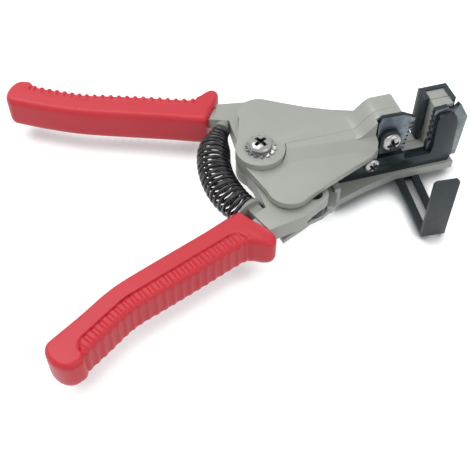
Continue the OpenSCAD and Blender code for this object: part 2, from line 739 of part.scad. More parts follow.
module rear_blade_screw() bright() tool_place()
    pan_screw(rear_screw_x, rear_screw_z, clamp_face - layer_gap, clamp_face - layer_gap - near_w * 0.3);

// The gripping pads and their screws

// A row of teeth on a plate: the plate's back at back_x, the tips at tip_x
module toothed_profile(back_x, tip_x, low_z, teeth) {
    side = tip_x < back_x ? 1 : -1;
    polygon(concat([[back_x, low_z]],
                   [for (i = [0 : teeth - 1], j = [0, 1])
                       [tip_x + side * tooth_h * (1 - j), low_z + (i + j / 2) * tooth_pitch]],
                   [[tip_x + side * tooth_h, low_z + teeth * tooth_pitch],
                    [back_x, low_z + teeth * tooth_pitch]]));
}

front_teeth = floor((tower_z + over - block_z) / tooth_pitch);
rear_teeth = floor((raised_z * 0.85 - block_z) / tooth_pitch);
front_pad_h = front_teeth * tooth_pitch;
rear_pad_h = rear_teeth * tooth_pitch;

pad_arm_y = 0.5 * near_w;

module front_pad() black() tool_place() other_side() difference() {
    union() {
        upright_plate(2 * wall_gap, far_w) toothed_profile(tower_x, front_face_x, block_z, front_teeth);
        translate([tower_x - pad_t, -far_w - pad_t, block_z])
            cube([tower_l + 2 * pad_t, far_w + pad_t - 2 * wall_gap, front_pad_h]);
        translate([tower_x + tower_l + layer_gap, -far_w, block_z])
            cube([pad_t - layer_gap, far_w + pad_arm_y, front_pad_h]);
    }
    translate([tower_x, -far_w, block_z - over])
        cube([tower_l, far_w + pad_t + pad_arm_y, front_pad_h + 2 * over]);
    cross_pin(tower_x + tower_l / 2, pad_screw_z, far_w - over, pad_t + 2 * over, screw_r + pin_gap);
}

module rear_pad() black() tool_place() other_side() difference() {
    union() {
        upright_plate(2 * wall_gap, far_w) toothed_profile(block_end, rear_face_x, block_z, rear_teeth);
        translate([block_x * 1.05, -far_block_y - pad_t, block_z])
            cube([block_end + pad_t - block_x * 1.05, far_block_y + pad_t - 2 * wall_gap, rear_pad_h]);
    }
    translate([0, -far_block_y, block_z - over]) cube([block_end, far_block_y * 2, rear_pad_h + 2 * over]);
    cross_pin(rear_pad_screw_x, pad_screw_z, far_block_y - over, pad_t + 2 * over, screw_r + pin_gap);
}

module front_pad_screw() bright() tool_place() other_side()
    pan_screw(tower_x + tower_l / 2, pad_screw_z, far_w + pad_t, pad_t + far_w * 0.6);

module rear_pad_screw() bright() tool_place() other_side()
    pan_screw(rear_pad_screw_x, pad_screw_z, far_block_y + pad_t, pad_t + far_block_y * 0.6);

// The wire stop and its clamp

module stop_place() translate([stop_x, -stop_screw_y, 0]) rotate([0, 0, -stop_turn])
    translate([-stop_x, stop_screw_y, 0]) children();

module wire_stop() black() tool_place() stop_place() {
    corner = stop_w * 0.1;
    stop_top = leg_z + stop_h;
    for (side = [-1, 1])
        translate([stop_x + side * (stop_w - leg_w) / 2 - leg_w / 2, -stop_y + stop_t / 2, leg_z])
            cube([leg_w, stop_y - stop_t / 2 - leg_w / 3, stop_t]);
    upright_plate(stop_y - stop_t, stop_t)
        polygon([[stop_x - stop_w / 2, leg_z], [stop_x + stop_w / 2, leg_z],
                 [stop_x + stop_w / 2, stop_top - corner], [stop_x + stop_w / 2 - corner, stop_top],
                 [stop_x - stop_w / 2 + corner, stop_top], [stop_x - stop_w / 2, stop_top - corner]]);
}

module stop_clamp_plate() black() tool_place() difference() {
    translate([stop_x - stop_w / 2, -ledge_y * 0.95, stop_head_h])
        cube([stop_w, ledge_y * 0.8, stop_head_h]);
    translate([stop_x, -stop_screw_y, 0])
        cylinder(r = screw_r + pin_gap, h = leg_z, $fn = round_fn);
}

module stop_clamp_screw() bright() tool_place() translate([stop_x, -stop_screw_y, 0]) difference() {
    union() {
        cylinder(r = screw_head_r * 0.75, h = stop_head_h, $fn = round_fn);
        cylinder(r = screw_r, h = ledge_top - layer_gap, $fn = round_fn);
    }
    rotate([180, 0, 0]) cross_recess(screw_head_r * 0.75, stop_head_h * 0.6);
}

// The handle spring and its two seats

// The spring's middle line is a round arc between the middles of its two seats' faces
spring_z = lever_z + lever_t / 2;
top_end = [grip_at(-seat_back, -arm_in - top_seat_h)[0], -grip_at(-seat_back, -arm_in - top_seat_h)[1]];
low_end = grip_at(-seat_back * 0.2, -grip_in - low_seat_h);
chord = low_end - top_end;
chord_l = norm(chord);
bow_r = (chord_l * chord_l / 4 + spring_bow * spring_bow) / (2 * spring_bow);
bow_half = asin(chord_l / 2 / bow_r);
bow_side = [chord[1], -chord[0]] / chord_l;
bow_middle = (top_end + low_end) / 2 - bow_side * (bow_r - spring_bow);
bow_l = bow_r * bow_half * PI / 90;
bow_start = atan2(bow_side[1], bow_side[0]) - bow_half;

function bow_angle(s) = bow_start + 2 * bow_half * s;
function bow_out(s) = [cos(bow_angle(s)), sin(bow_angle(s)), 0];
function bow_along(s) = [-sin(bow_angle(s)), cos(bow_angle(s)), 0];
function bow_at(s) = [bow_middle[0], bow_middle[1], spring_z] + bow_r * bow_out(s);
function coil_r(s) = (narrow_d + (belly_d - narrow_d) * soft(s / swell_share)
    + (wide_d - belly_d) * soft((s - 0.7) / 0.3) - wire_d) / 2;
function coil_out(s, turn) = cos(turn) * bow_out(s) + sin(turn) * [0, 0, 1];

rings_per_curl = 8;
ring_sides = 6;
ring_count = curls * rings_per_curl;
lead = 1.3 * wire_d / bow_l;

function coil_share(i) = lead + (1 - 2 * lead) * i / ring_count;
function coil_turn(i) = 180 + i * 360 / rings_per_curl;
function coil_at(i) = bow_at(coil_share(i)) + coil_r(coil_share(i)) * coil_out(coil_share(i), coil_turn(i));

wire_line = concat([coil_at(0) - wire_d * bow_along(lead)],
                   [for (i = [0 : ring_count]) coil_at(i)],
                   [coil_at(ring_count) + wire_d * bow_along(1 - lead)]);
wire_last = len(wire_line) - 1;
wire_out = concat([coil_out(lead, coil_turn(0))],
                  [for (i = [0 : ring_count]) coil_out(coil_share(i), coil_turn(i))],
                  [coil_out(1 - lead, coil_turn(ring_count))]);

function unit(v) = v / norm(v);
function flat_to(v, n) = unit(v - (v * n) * n);
function wire_dir(i) = i == 0 ? bow_along(lead) : i == wire_last ? bow_along(1 - lead)
    : unit(unit(wire_line[i + 1] - wire_line[i]) + unit(wire_line[i] - wire_line[i - 1]));
wire_rings = [for (i = [0 : wire_last])
    let (dir = wire_dir(i), out = flat_to(wire_out[i], dir), up = cross(dir, out))
        for (k = [0 : ring_sides - 1])
            wire_line[i] + wire_d / 2 * (cos(k * 360 / ring_sides) * out + sin(k * 360 / ring_sides) * up)];

wire_faces = concat(
    [for (i = [0 : wire_last - 1], k = [0 : ring_sides - 1], half = [0, 1])
        let (a = i * ring_sides + k, b = i * ring_sides + (k + 1) % ring_sides,
             c = a + ring_sides, d = b + ring_sides)
            half == 0 ? [a, c, b] : [b, c, d]],
    [for (k = [1 : ring_sides - 2]) [0, k, k + 1]],
    [for (k = [1 : ring_sides - 2]) [0, k + 1, k] + wire_last * ring_sides * [1, 1, 1]]);

far_ring = 2 * rings_per_curl;
near_ring = rings_per_curl / 2;
least_gap = min([for (i = [1 : wire_last - 1], j = [i + near_ring : 1 : min(wire_last, i + far_ring)])
    norm(wire_line[i] - wire_line[j]) - wire_d]);
echo(spring_least_gap = least_gap, spring_length = bow_l);

module handle_spring() black() tool_place() polyhedron(points = wire_rings, faces = wire_faces);

// A seat's round body runs from the spring's end back to what carries it
module seat_body(s, r, reach, side) translate(bow_at(s))
    rotate([0, 0, bow_angle(s) + 90]) rotate([0, 90 * side, 0]) cylinder(r = r, h = reach, $fn = round_fn);

module upper_spring_seat() metal() tool_place() intersection() {
    seat_body(0, narrow_d / 2, narrow_d, -1);
    other_side() grip_place() translate([-arm_reach * 0.95, -arm_in - narrow_d, lever_z])
        cube([arm_reach * 0.95 - layer_gap, narrow_d, lever_t]);
}

module lower_spring_seat() metal() tool_place() intersection() {
    seat_body(1, wide_d / 2, wide_d, 1);
    grip_place() {
        translate([-wide_d, -grip_in - guard_flare - wide_d, grip_z])
            cube([2 * wide_d, wide_d, 2 * grip_t]);
        translate([-arm_reach * 0.8, -grip_in - wide_d, lever_z])
            cube([arm_reach * 0.8, wide_d + grip_in - arm_in, lever_t]);
    }
}

upper_grip();
lower_grip();
upper_lever();
lower_lever();
upper_eye_pin();
lower_eye_pin();
upper_roller();
lower_roller();
gripper_plate();
cutter_plate();
gripper_frame();
cutter_frame();
gripper_guide_pins();
cutter_guide_pins();
pivot_screw();
star_washer();
pivot_nut();
front_blade();
front_blade_clamp();
front_blade_screw();
rear_blade();
rear_blade_clamp();
rear_blade_screw();
front_pad();
front_pad_screw();
rear_pad();
rear_pad_screw();
wire_stop();
stop_clamp_plate();
stop_clamp_screw();
handle_spring();
upper_spring_seat();
lower_spring_seat();
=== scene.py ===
import math

import bmesh
import bpy
import numpy as np
from mathutils import Matrix, Vector


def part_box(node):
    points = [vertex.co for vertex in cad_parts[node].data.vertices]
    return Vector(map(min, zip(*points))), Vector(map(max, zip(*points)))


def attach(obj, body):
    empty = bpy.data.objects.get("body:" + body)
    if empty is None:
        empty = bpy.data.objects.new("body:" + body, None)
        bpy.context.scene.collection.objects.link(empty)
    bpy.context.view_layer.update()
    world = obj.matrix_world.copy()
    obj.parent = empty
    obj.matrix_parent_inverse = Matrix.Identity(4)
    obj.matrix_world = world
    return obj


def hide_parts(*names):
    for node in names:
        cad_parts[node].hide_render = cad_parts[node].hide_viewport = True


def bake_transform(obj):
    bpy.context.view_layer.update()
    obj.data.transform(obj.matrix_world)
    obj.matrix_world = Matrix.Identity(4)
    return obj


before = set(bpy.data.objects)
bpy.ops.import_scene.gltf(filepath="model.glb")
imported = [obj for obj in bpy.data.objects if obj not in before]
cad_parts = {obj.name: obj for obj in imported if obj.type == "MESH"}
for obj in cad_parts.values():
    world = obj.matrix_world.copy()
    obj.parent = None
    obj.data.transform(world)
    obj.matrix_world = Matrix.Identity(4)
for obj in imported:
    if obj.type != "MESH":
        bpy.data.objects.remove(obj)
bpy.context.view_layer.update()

# One millimetre in the frame's metres
MM = 0.001

# Sizes of the tool in mm, with places measured from the pivot and heights from the floor, and angles
# in degrees
washer_low, washer_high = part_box("star_washer")
PIVOT_X = (washer_low.x + washer_high.x) / 2 / MM
# The lower grip: its angle to X, the middle of its head, the heights of its underside and top, its half
# widths inwards and outwards, the lengths of its straight part and its butt, and the bend between them
GRIP_ANGLE = 21.2
GRIP_HEAD = (-9.2, -29.7)
GRIP_LOW, GRIP_TOP = 8.3, 22.7
GRIP_IN, GRIP_OUT = 6.9, 6.5
STRAIGHT, BUTT, BEND = 57.6, 26.4, 11.0
RIB_COUNT = 21


def in_frame(points):
    """Points in mm from the pivot, as points of the shared frame in metres."""
    moved = np.array(points, float).reshape(-1, 3)
    moved[:, 0] += PIVOT_X
    return moved * MM


# Node boards
class Board:
    """A node tree with short calls for its nodes and links."""

    def __init__(self, tree):
        self.tree = tree

    def add(self, kind, inputs=None, **settings):
        """A new node with these settings, and with values or links on its named inputs."""
        node = self.tree.nodes.new(kind)
        for name, value in settings.items():
            setattr(node, name, value)
        for name, value in (inputs or {}).items():
            self.feed(node.inputs[name], value)
        return node

    def feed(self, socket, value):
        """Gives a socket a link, or a value of its own."""
        if isinstance(value, bpy.types.NodeSocket):
            self.tree.links.new(value, socket)
        else:
            socket.default_value = value

    def sum(self, operation, *values, **settings):
        """One operation on numbers."""
        node = self.add("ShaderNodeMath", operation=operation, **settings)
        for socket, value in zip(node.inputs, values):
            self.feed(socket, value)
        return node.outputs[0]

    def vector(self, operation, *values):
        """One operation on vectors."""
        node = self.add("ShaderNodeVectorMath", operation=operation)
        for socket, value in zip(node.inputs, values):
            self.feed(socket, value)
        return node.outputs["Vector"]

    def spread(self, value, low, high, new_low=0.0, new_high=1.0, smooth=False):
        """The range from low to high, clamped and spread over a new range."""
        node = self.add("ShaderNodeMapRange", clamp=True,
                        interpolation_type="SMOOTHSTEP" if smooth else "LINEAR")
        for socket, given in zip(node.inputs, (value, low, high, new_low, new_high)):
            self.feed(socket, given)
        return node.outputs["Result"]

    def blend(self, share, first, second):
        """A colour between two, where a share of 0 is the first."""
        node = self.add("ShaderNodeMix", data_type="RGBA")
        self.feed(node.inputs["Factor"], share)
        self.feed(node.inputs[6], first)
        self.feed(node.inputs[7], second)
        return node.outputs[2]


def group_board(name, kind, inputs, outputs):
    """A new node group with named sockets, and its board, entry and exit."""
    tree = bpy.data.node_groups.new(name, kind)
    for side, sockets in (("INPUT", inputs), ("OUTPUT", outputs)):
        for socket_name, socket_kind, default in sockets:
            socket = tree.interface.new_socket(socket_name, in_out=side, socket_type=socket_kind)
            if default is not None:
                socket.default_value = default
    board = Board(tree)
    return board, board.add("NodeGroupInput"), board.add("NodeGroupOutput")


def rgb(red, green, blue):
    """A colour given as 0 to 255 for each channel, as a socket takes it."""
    line = [c / 12.92 if c <= 0.04045 else ((c + 0.055) / 1.055) ** 2.4
            for c in (red / 255, green / 255, blue / 255)]
    return (*line, 1.0)


# Effects that several finishes share

# Stretch of the grinding marks along X, Y and Z, for each metre
GRINDING_STRETCH = (120.0, 5200.0, 5200.0)
# Rise of the edges' pointiness over which their edge colour sets in: rubbed bare on some finishes, a painted
# highlight on others
WEAR_AND_HIGHLIGHT_ONSET = 0.05
# Height of the surface relief in mm, the change of roughness over a surface, and the lacquer's roughness
RELIEF = 0.1
ROUGHNESS_CHANGE = 0.08
COAT_ROUGHNESS = 0.12
# How far a face is turned to Y where its own colour starts to show and where it shows fully
TURNED_START, TURNED_FULL = 0.75, 0.9


def make_skin_group():
    """Soft cloudy variation of a moulded or cast surface: a shade from 0 to 1 and a height."""
    board, entry, leave = group_board(
        "cast_skin", "ShaderNodeTree",
        [("Cloud Size", "NodeSocketFloat", 60.0), ("Grain Size", "NodeSocketFloat", 1600.0)],
        [("Shade", "NodeSocketFloat", None), ("Height", "NodeSocketFloat", None)])
    place = board.add("ShaderNodeTexCoord").outputs["Object"]
    cloud = board.add("ShaderNodeTexNoise", {"Vector": place, "Scale": entry.outputs["Cloud Size"],
                                             "Detail": 4.0, "Roughness": 0.6})
    grain = board.add("ShaderNodeTexNoise", {"Vector": place, "Scale": entry.outputs["Grain Size"],
                                             "Detail": 2.0, "Roughness": 0.5})
    board.feed(leave.inputs["Shade"], board.spread(cloud.outputs["Fac"], 0.3, 0.7))
    cloudy = board.sum("MULTIPLY", cloud.outputs["Fac"], 0.25)
    board.feed(leave.inputs["Height"], board.sum("ADD", cloudy, grain.outputs["Fac"]))
    return board.tree


def make_wear_and_highlight_group():
    """Where sharp edges have lost their finish, and where other finishes carry a painted highlight on their
    edges: a mask, broken up by noise.
    """
    board, entry, leave = group_board(
        "edge_wear_and_highlight", "ShaderNodeTree",
        [("Start", "NodeSocketFloat", 0.53), ("Amount", "NodeSocketFloat", 0.6)],
        [("Mask", "NodeSocketFloat", None)])
    place = board.add("ShaderNodeTexCoord").outputs["Object"]
    patches = board.add("ShaderNodeTexNoise", {"Vector": place, "Scale": 320.0, "Detail": 5.0})
    corner = board.add("ShaderNodeNewGeometry").outputs["Pointiness"]
    edge = board.spread(corner, entry.outputs["Start"], board.sum("ADD", entry.outputs["Start"], WEAR_AND_HIGHLIGHT_ONSET))
    broken = board.spread(patches.outputs["Fac"], 0.38, 0.66)
    board.feed(leave.inputs["Mask"], board.sum(
        "MULTIPLY", board.sum("MULTIPLY", edge, broken), entry.outputs["Amount"], use_clamp=True))
    return board.tree


def make_grinding_group():
    """Fine parallel grinding marks along X: a shade and a height."""
    board, entry, leave = group_board(
        "grinding_marks", "ShaderNodeTree",
        [("Stretch", "NodeSocketVector", GRINDING_STRETCH)],
        [("Shade", "NodeSocketFloat", None), ("Height", "NodeSocketFloat", None)])
    place = board.add("ShaderNodeTexCoord").outputs["Object"]
    drawn_out = board.vector("MULTIPLY", place, entry.outputs["Stretch"])
    marks = board.add("ShaderNodeTexNoise", {"Vector": drawn_out, "Scale": 1.0, "Detail": 3.0,
                                             "Roughness": 0.7})
    board.feed(leave.inputs["Shade"], board.spread(marks.outputs["Fac"], 0.3, 0.7))
    board.feed(leave.inputs["Height"], marks.outputs["Fac"])
    return board.tree


skin_group = make_skin_group()
wear_and_highlight_group = make_wear_and_highlight_group()
grinding_group = make_grinding_group()


def finish(name, colour, shade_colour, roughness, metallic=0.0, bump=0.1, cloud=60.0, grain=1600.0,
           wear_and_highlight_colour=None, wear_and_highlight_start=0.53, wear_and_highlight_amount=0.0, ground=False, coat=0.0, side_colour=None):
    """A surface finish: two close colours, a rough skin, and an edge colour: bare edges where it is handled,
    and on some finishes a painted highlight on the edges. A ground finish has grinding marks in place of the
    skin. side_colour shows on faces that don't face Y."""
    material = bpy.data.materials.new(name)
    material.use_nodes = True
    board = Board(material.node_tree)
    surface = material.node_tree.nodes["Principled BSDF"]
    skin = board.add("ShaderNodeGroup", node_tree=skin_group)
    board.feed(skin.inputs["Cloud Size"], cloud)
    board.feed(skin.inputs["Grain Size"], grain)
    shade, height = skin.outputs["Shade"], skin.outputs["Height"]
    if ground:
        marks = board.add("ShaderNodeGroup", node_tree=grinding_group)
        board.feed(marks.inputs["Stretch"], GRINDING_STRETCH)
        shade, height = marks.outputs["Shade"], marks.outputs["Height"]
    mixed = board.blend(shade, colour, shade_colour)
    rough = board.spread(skin.outputs["Shade"], 0.0, 1.0, roughness - ROUGHNESS_CHANGE / 2,
                         roughness + ROUGHNESS_CHANGE / 2)
    # Edge colour on the pointiest edges: rubbed bare on the steel and black parts, a painted highlight on the
    # red grips, and both on the pads' tooth tips
    if wear_and_highlight_colour:
        wear_and_highlight = board.add("ShaderNodeGroup", node_tree=wear_and_highlight_group)
        board.feed(wear_and_highlight.inputs["Start"], wear_and_highlight_start)
        board.feed(wear_and_highlight.inputs["Amount"], wear_and_highlight_amount)
        mixed = board.blend(wear_and_highlight.outputs["Mask"], mixed, wear_and_highlight_colour)
    if side_colour:
        facing = board.add("ShaderNodeSeparateXYZ", {
            "Vector": board.add("ShaderNodeTexCoord").outputs["Normal"]}).outputs["Y"]
        side = board.spread(board.sum("ABSOLUTE", facing), TURNED_START, TURNED_FULL, 1.0, 0.0)
        mixed = board.blend(side, mixed, side_colour)
    board.feed(surface.inputs["Base Color"], mixed)
    board.feed(surface.inputs["Roughness"], rough)
    surface.inputs["Metallic"].default_value = metallic
    surface.inputs["Coat Weight"].default_value = coat
    surface.inputs["Coat Roughness"].default_value = COAT_ROUGHNESS
    relief = board.add("ShaderNodeBump", {"Height": height, "Strength": bump, "Distance": RELIEF * MM})
    board.feed(surface.inputs["Normal"], relief.outputs["Normal"])
    return material


casting = finish("painted_casting", rgb(168, 171, 164), rgb(164, 167, 160), 0.4, metallic=0.1, bump=0.16)
# The red grips' edge colour is a painted highlight: a brighter, purer red on their rounded edges, standing in
# for how light falls there
red_vinyl = finish("red_grip_vinyl", rgb(209, 43, 58), rgb(203, 39, 54), 0.42, bump=0.08, cloud=40.0,
                   grain=2600.0, wear_and_highlight_colour=rgb(228, 32, 38), wear_and_highlight_amount=0.85, wear_and_highlight_start=0.503)
spring_black = finish("black_spring_wire", rgb(22, 24, 28), rgb(14, 15, 18), 0.2, metallic=0.2, bump=0.05,
                      grain=4000.0, coat=0.3)
blade_steel = finish("ground_blade_steel", rgb(104, 116, 119), rgb(92, 104, 108), 0.4, metallic=0.55,
                     bump=0.12, ground=True, wear_and_highlight_colour=rgb(205, 206, 210), wear_and_highlight_amount=0.5,
                     side_colour=rgb(38, 46, 52))
dark_blade = finish("blued_blade_steel", rgb(98, 110, 117), rgb(86, 98, 106), 0.34, metallic=0.6,
                    bump=0.12, ground=True, wear_and_highlight_colour=rgb(175, 180, 186), wear_and_highlight_amount=0.5,
                    side_colour=rgb(34, 42, 48))
black_oxide = finish("black_oxide", rgb(40, 51, 56), rgb(31, 41, 46), 0.38, metallic=0.45, bump=0.12,
                     wear_and_highlight_colour=rgb(120, 126, 130), wear_and_highlight_amount=0.3, wear_and_highlight_start=0.55)
# The pads' light edge colour is partly rubbed bare steel and partly painted glints on their tooth tips
pad_black = finish("hardened_pad", rgb(54, 64, 68), rgb(42, 51, 55), 0.45, metallic=0.4, bump=0.15,
                   wear_and_highlight_colour=rgb(150, 156, 160), wear_and_highlight_amount=0.5, wear_and_highlight_start=0.56)
nickel = finish("bright_nickel", rgb(172, 172, 170), rgb(148, 148, 147), 0.2, metallic=1.0, bump=0.05,
                grain=900.0)
recess_dark = finish("recess_shadow", rgb(62, 60, 61), rgb(44, 43, 44), 0.35, metallic=0.8, bump=0.05)
pin_steel = finish("turned_pin_steel", rgb(150, 156, 164), rgb(124, 130, 138), 0.3, metallic=0.9, bump=0.1)
stop_black = finish("stop_black_paint", rgb(33, 44, 50), rgb(28, 38, 44), 0.5, bump=0.14,
                    wear_and_highlight_colour=rgb(110, 118, 122), wear_and_highlight_amount=0.3, wear_and_highlight_start=0.55)
seat_cast = finish("seat_casting", rgb(150, 153, 147), rgb(143, 146, 140), 0.45, bump=0.14)


# Making and finishing pieces

# Distances in metres within which points count as one
SAME_POINT = 1e-6
SAME_CAD_POINT = 2e-6
SAME_GRIP_POINT = 2e-5
# Angles in degrees: up to the first, faces count as one flat face, and from the second, an edge is rounded
FLAT_ANGLE = 0.6
BEVEL_ANGLE = 28.0


def settle(name, mesh, body, material, nodes, sharp=35.0):
    """Gives a mesh its finish and shading, and sets the piece on its body in place of its CAD nodes.
    Without a material it keeps its own, and without a body it is left unattached."""
    if material:
        mesh.materials.clear()
        mesh.materials.append(material)
    mesh.polygons.foreach_set("use_smooth", [True] * len(mesh.polygons))
    mesh.set_sharp_from_angle(angle=math.radians(sharp))
    mesh.update()
    piece = placed_object(name, mesh)
    if body:
        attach(piece, body)
    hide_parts(*nodes)
    return piece


def placed_object(name, data):
    """A new object that holds this data, in the scene."""
    thing = bpy.data.objects.new(name, data)
    bpy.context.scene.collection.objects.link(thing)
    return thing


def frozen(piece):
    """The mesh that a piece's modifiers make, with the piece itself removed."""
    bpy.context.view_layer.update()
    drawn = piece.evaluated_get(bpy.context.evaluated_depsgraph_get())
    mesh = bpy.data.meshes.new_from_object(drawn)
    bpy.data.objects.remove(piece)
    return mesh


def break_edges(piece, width, segments, angle):
    """Rounds the edges sharper than this angle, over this width in mm."""
    bevel = piece.modifiers.new("broken_edges", "BEVEL")
    bevel.width = width * MM
    bevel.segments = segments
    bevel.limit_method = "ANGLE"
    bevel.angle_limit = math.radians(angle)
    return bevel


def merged_copy(node):
    """A CAD node's shape with its loose triangles joined and its flat faces made whole."""
    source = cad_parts[node].data
    build = bmesh.new()
    for vertex in source.vertices:
        build.verts.new(vertex.co)
    build.verts.ensure_lookup_table()
    for face in source.polygons:
        try:
            build.faces.new([build.verts[i] for i in face.vertices])
        except ValueError:
            continue
    bmesh.ops.remove_doubles(build, verts=build.verts, dist=SAME_CAD_POINT)
    bmesh.ops.dissolve_limit(build, angle_limit=math.radians(FLAT_ANGLE), verts=build.verts,
                             edges=build.edges, use_dissolve_boundaries=False)
    mesh = bpy.data.meshes.new(node + "_shape")
    build.to_mesh(mesh)
    build.free()
    return mesh


def dressed(name, node, body, material, slot, edge, segments):
    """A CAD node with its edges broken and its finish on."""
    piece = placed_object(name + "_blank", merged_copy(node))
    bevel = break_edges(piece, edge, segments, BEVEL_ANGLE)
    bevel.use_clamp_overlap = True
    mesh = frozen(piece)
    mesh.name = name
    return settle(name, mesh, body, material, (node,))


# Grips

# Half widths of the outline towards its ribbed outer side and its inner side, at places along the grip
OUTER_PLACES = [0.0, 1.2, 2.6, 4.6, 7.2, 9.0, 10.8, 14.0, 30.0, 46.0, 58.0, 68.0, 78.0,
                80.4, 81.6, 82.8, 84.0]
OUTER_WIDTHS = [10.4, 11.6, 12.0, 11.0, 8.5, 7.2, 6.6, 6.4, 6.4, 6.1, 5.7, 5.8, 5.9,
                6.1, 7.0, 7.1, 6.8]
INNER_PLACES = [0.0, 2.0, 20.0, 44.0, 56.0, 66.0, 74.0, 84.0]
INNER_WIDTHS = [6.7, 6.9, 6.8, 6.8, 6.7, 6.7, 6.8, 6.9]
# The depth of the butt's round end as a share of a half circle, and the slant of the head
BUTT_ROUND, HEAD_SLANT = 0.7, 3.2
# How far out the head's edge goes, as a share of the half widths, and how many points it has
HEAD_SHARE, HEAD_POINTS = 0.93, 22
# Where the long edges start, and the point of the middle line that is nearest to the head
FIRST_PLACE, FIRST_FOOT = 0.4, 7.0
# Steps in which the middle line is summed up
LINE_STEPS = 900
# Half the length of the bend, and where the lean starts to lessen and over what length it halves
BEND_REACH = 9.0
LEAN_START, LEAN_REACH = 55, 20
# The sunk band that carries the ribs: its ends, its depth and the width of its border, the radius of
# its corners, and how far it laps over the edge onto the other face, there with its own corners
BAND_START, BAND_END = 8.6, 80.4
BAND_DEPTH, BAND_BORDER = 0.8, 0.45
BAND_CORNER = 5.0
TOP_LAP, LOW_LAP, LAP_CORNER = 1.9, 1.2, 1.0
# Each rib: its height, its level top and its flanks in shares of half its pitch, and how far inside the
# band it starts and over what length it reaches its height
RIB_HEIGHT, RIB_TOP, RIB_FLANK = 0.82, 0.22, 0.36
RIB_START, RIB_RAMP = 0.35, 0.9
# How fully the ribs stand out on the walls, on the middle of the banded edge and how much more at its
# borders, and on the lower lap, and how much of the band's depth is filled where they don't
UPPER_WALL_RIBS, LOWER_WALL_RIBS = 1.0, 0.6
EDGE_RIBS, EDGE_RIBS_SWING, LAP_RIBS = 0.25, 0.3, 0.35
SMOOTH_FILL = 0.8
# Outline points for each rib, and a place that is far beyond the band
STEPS_PER_RIB = 12
NO_BAND = 200.0
# The guard at the head falls away on the banded side: how far from the head, over what length and
# width, and by how much. The top is slightly domed
GUARD_END, GUARD_REACH, GUARD_DROP = 9.0, 7.0, 1.6
CROWN = 0.35
# Lean and share of the length of each grip, and the radii of its top and lower edges. The lower radius
# is at most a share of the way to the middle line, and a face keeps at least some width
UPPER_SHAPE, UPPER_ROUNDING = (1.3, 0.976), (2.6, 3.4)
LOWER_SHAPE, LOWER_ROUNDING = (-1.4, 0.99), (2.3, 5.0)
MOST_ROUNDING = 0.7
LEAST_FACE = 0.01
# The cross section from the middle of the underside to the middle of the top: shares of the faces and
# of the wall, and degrees of the rounded edges between them
SECTION = ([("low_face", share) for share in (1.0, 0.985, 0.955, 0.9, 0.75, 0.5, 0.25, 0.0)]
           + [("low_edge", turn) for turn in np.linspace(0.0, 90.0, 9)[1:-1]]
           + [("wall", share) for share in np.linspace(0.0, 1.0, 6)]
           + [("top_edge", turn) for turn in np.linspace(0.0, 90.0, 8)[1:-1]]
           + [("top_face", share) for share in (0.0, 0.12, 0.3, 0.5, 0.68, 0.8, 0.88, 0.93,
                                                0.96, 0.985, 1.0)])


def soft_step(value):
    """0 below 0, 1 above 1, and a smooth rise between."""
    clipped = np.clip(value, 0.0, 1.0)
    return clipped * clipped * (3 - 2 * clipped)


def smooth_line(places, values, at):
    """A smooth line through a few sizes given along the grip."""
    places, values, at = np.array(places, float), np.array(values, float), np.array(at, float)
    i = np.clip(np.searchsorted(places, at) - 1, 0, len(places) - 2)
    share = (at - places[i]) / (places[i + 1] - places[i])
    slope = np.gradient(values, places)
    width = places[i + 1] - places[i]
    a, b = values[i], values[i + 1]
    h00, h10 = 2 * share ** 3 - 3 * share ** 2 + 1, share ** 3 - 2 * share ** 2 + share
    h01, h11 = -2 * share ** 3 + 3 * share ** 2, share ** 3 - share ** 2
    return h00 * a + h10 * width * slope[i] + h01 * b + h11 * width * slope[i + 1]


def centre_line(along):
    """The grip's bent middle line: points and side directions at distances along it."""
    bend_start, bend_end = STRAIGHT - BEND_REACH, STRAIGHT + BEND_REACH
    fine = np.linspace(0.0, STRAIGHT + BUTT + 2.0, LINE_STEPS)
    angle = math.radians(BEND) * soft_step((fine - bend_start) / (bend_end - bend_start))
    step = np.diff(fine, prepend=0.0)
    u, v = np.cumsum(np.cos(angle) * step), np.cumsum(np.sin(angle) * step)
    turned = np.interp(along, fine, angle)
    points = np.stack([np.interp(along, fine, u), np.interp(along, fine, v)], 1)
    return points, np.stack([-np.sin(turned), np.cos(turned)], 1)


def grip_foot(points, along):
    """The points of the middle line that outline points belong to: near the head, all one point."""
    return np.where(along[:, None] < FIRST_FOOT, np.array([[FIRST_FOOT, 0.0]]), points)


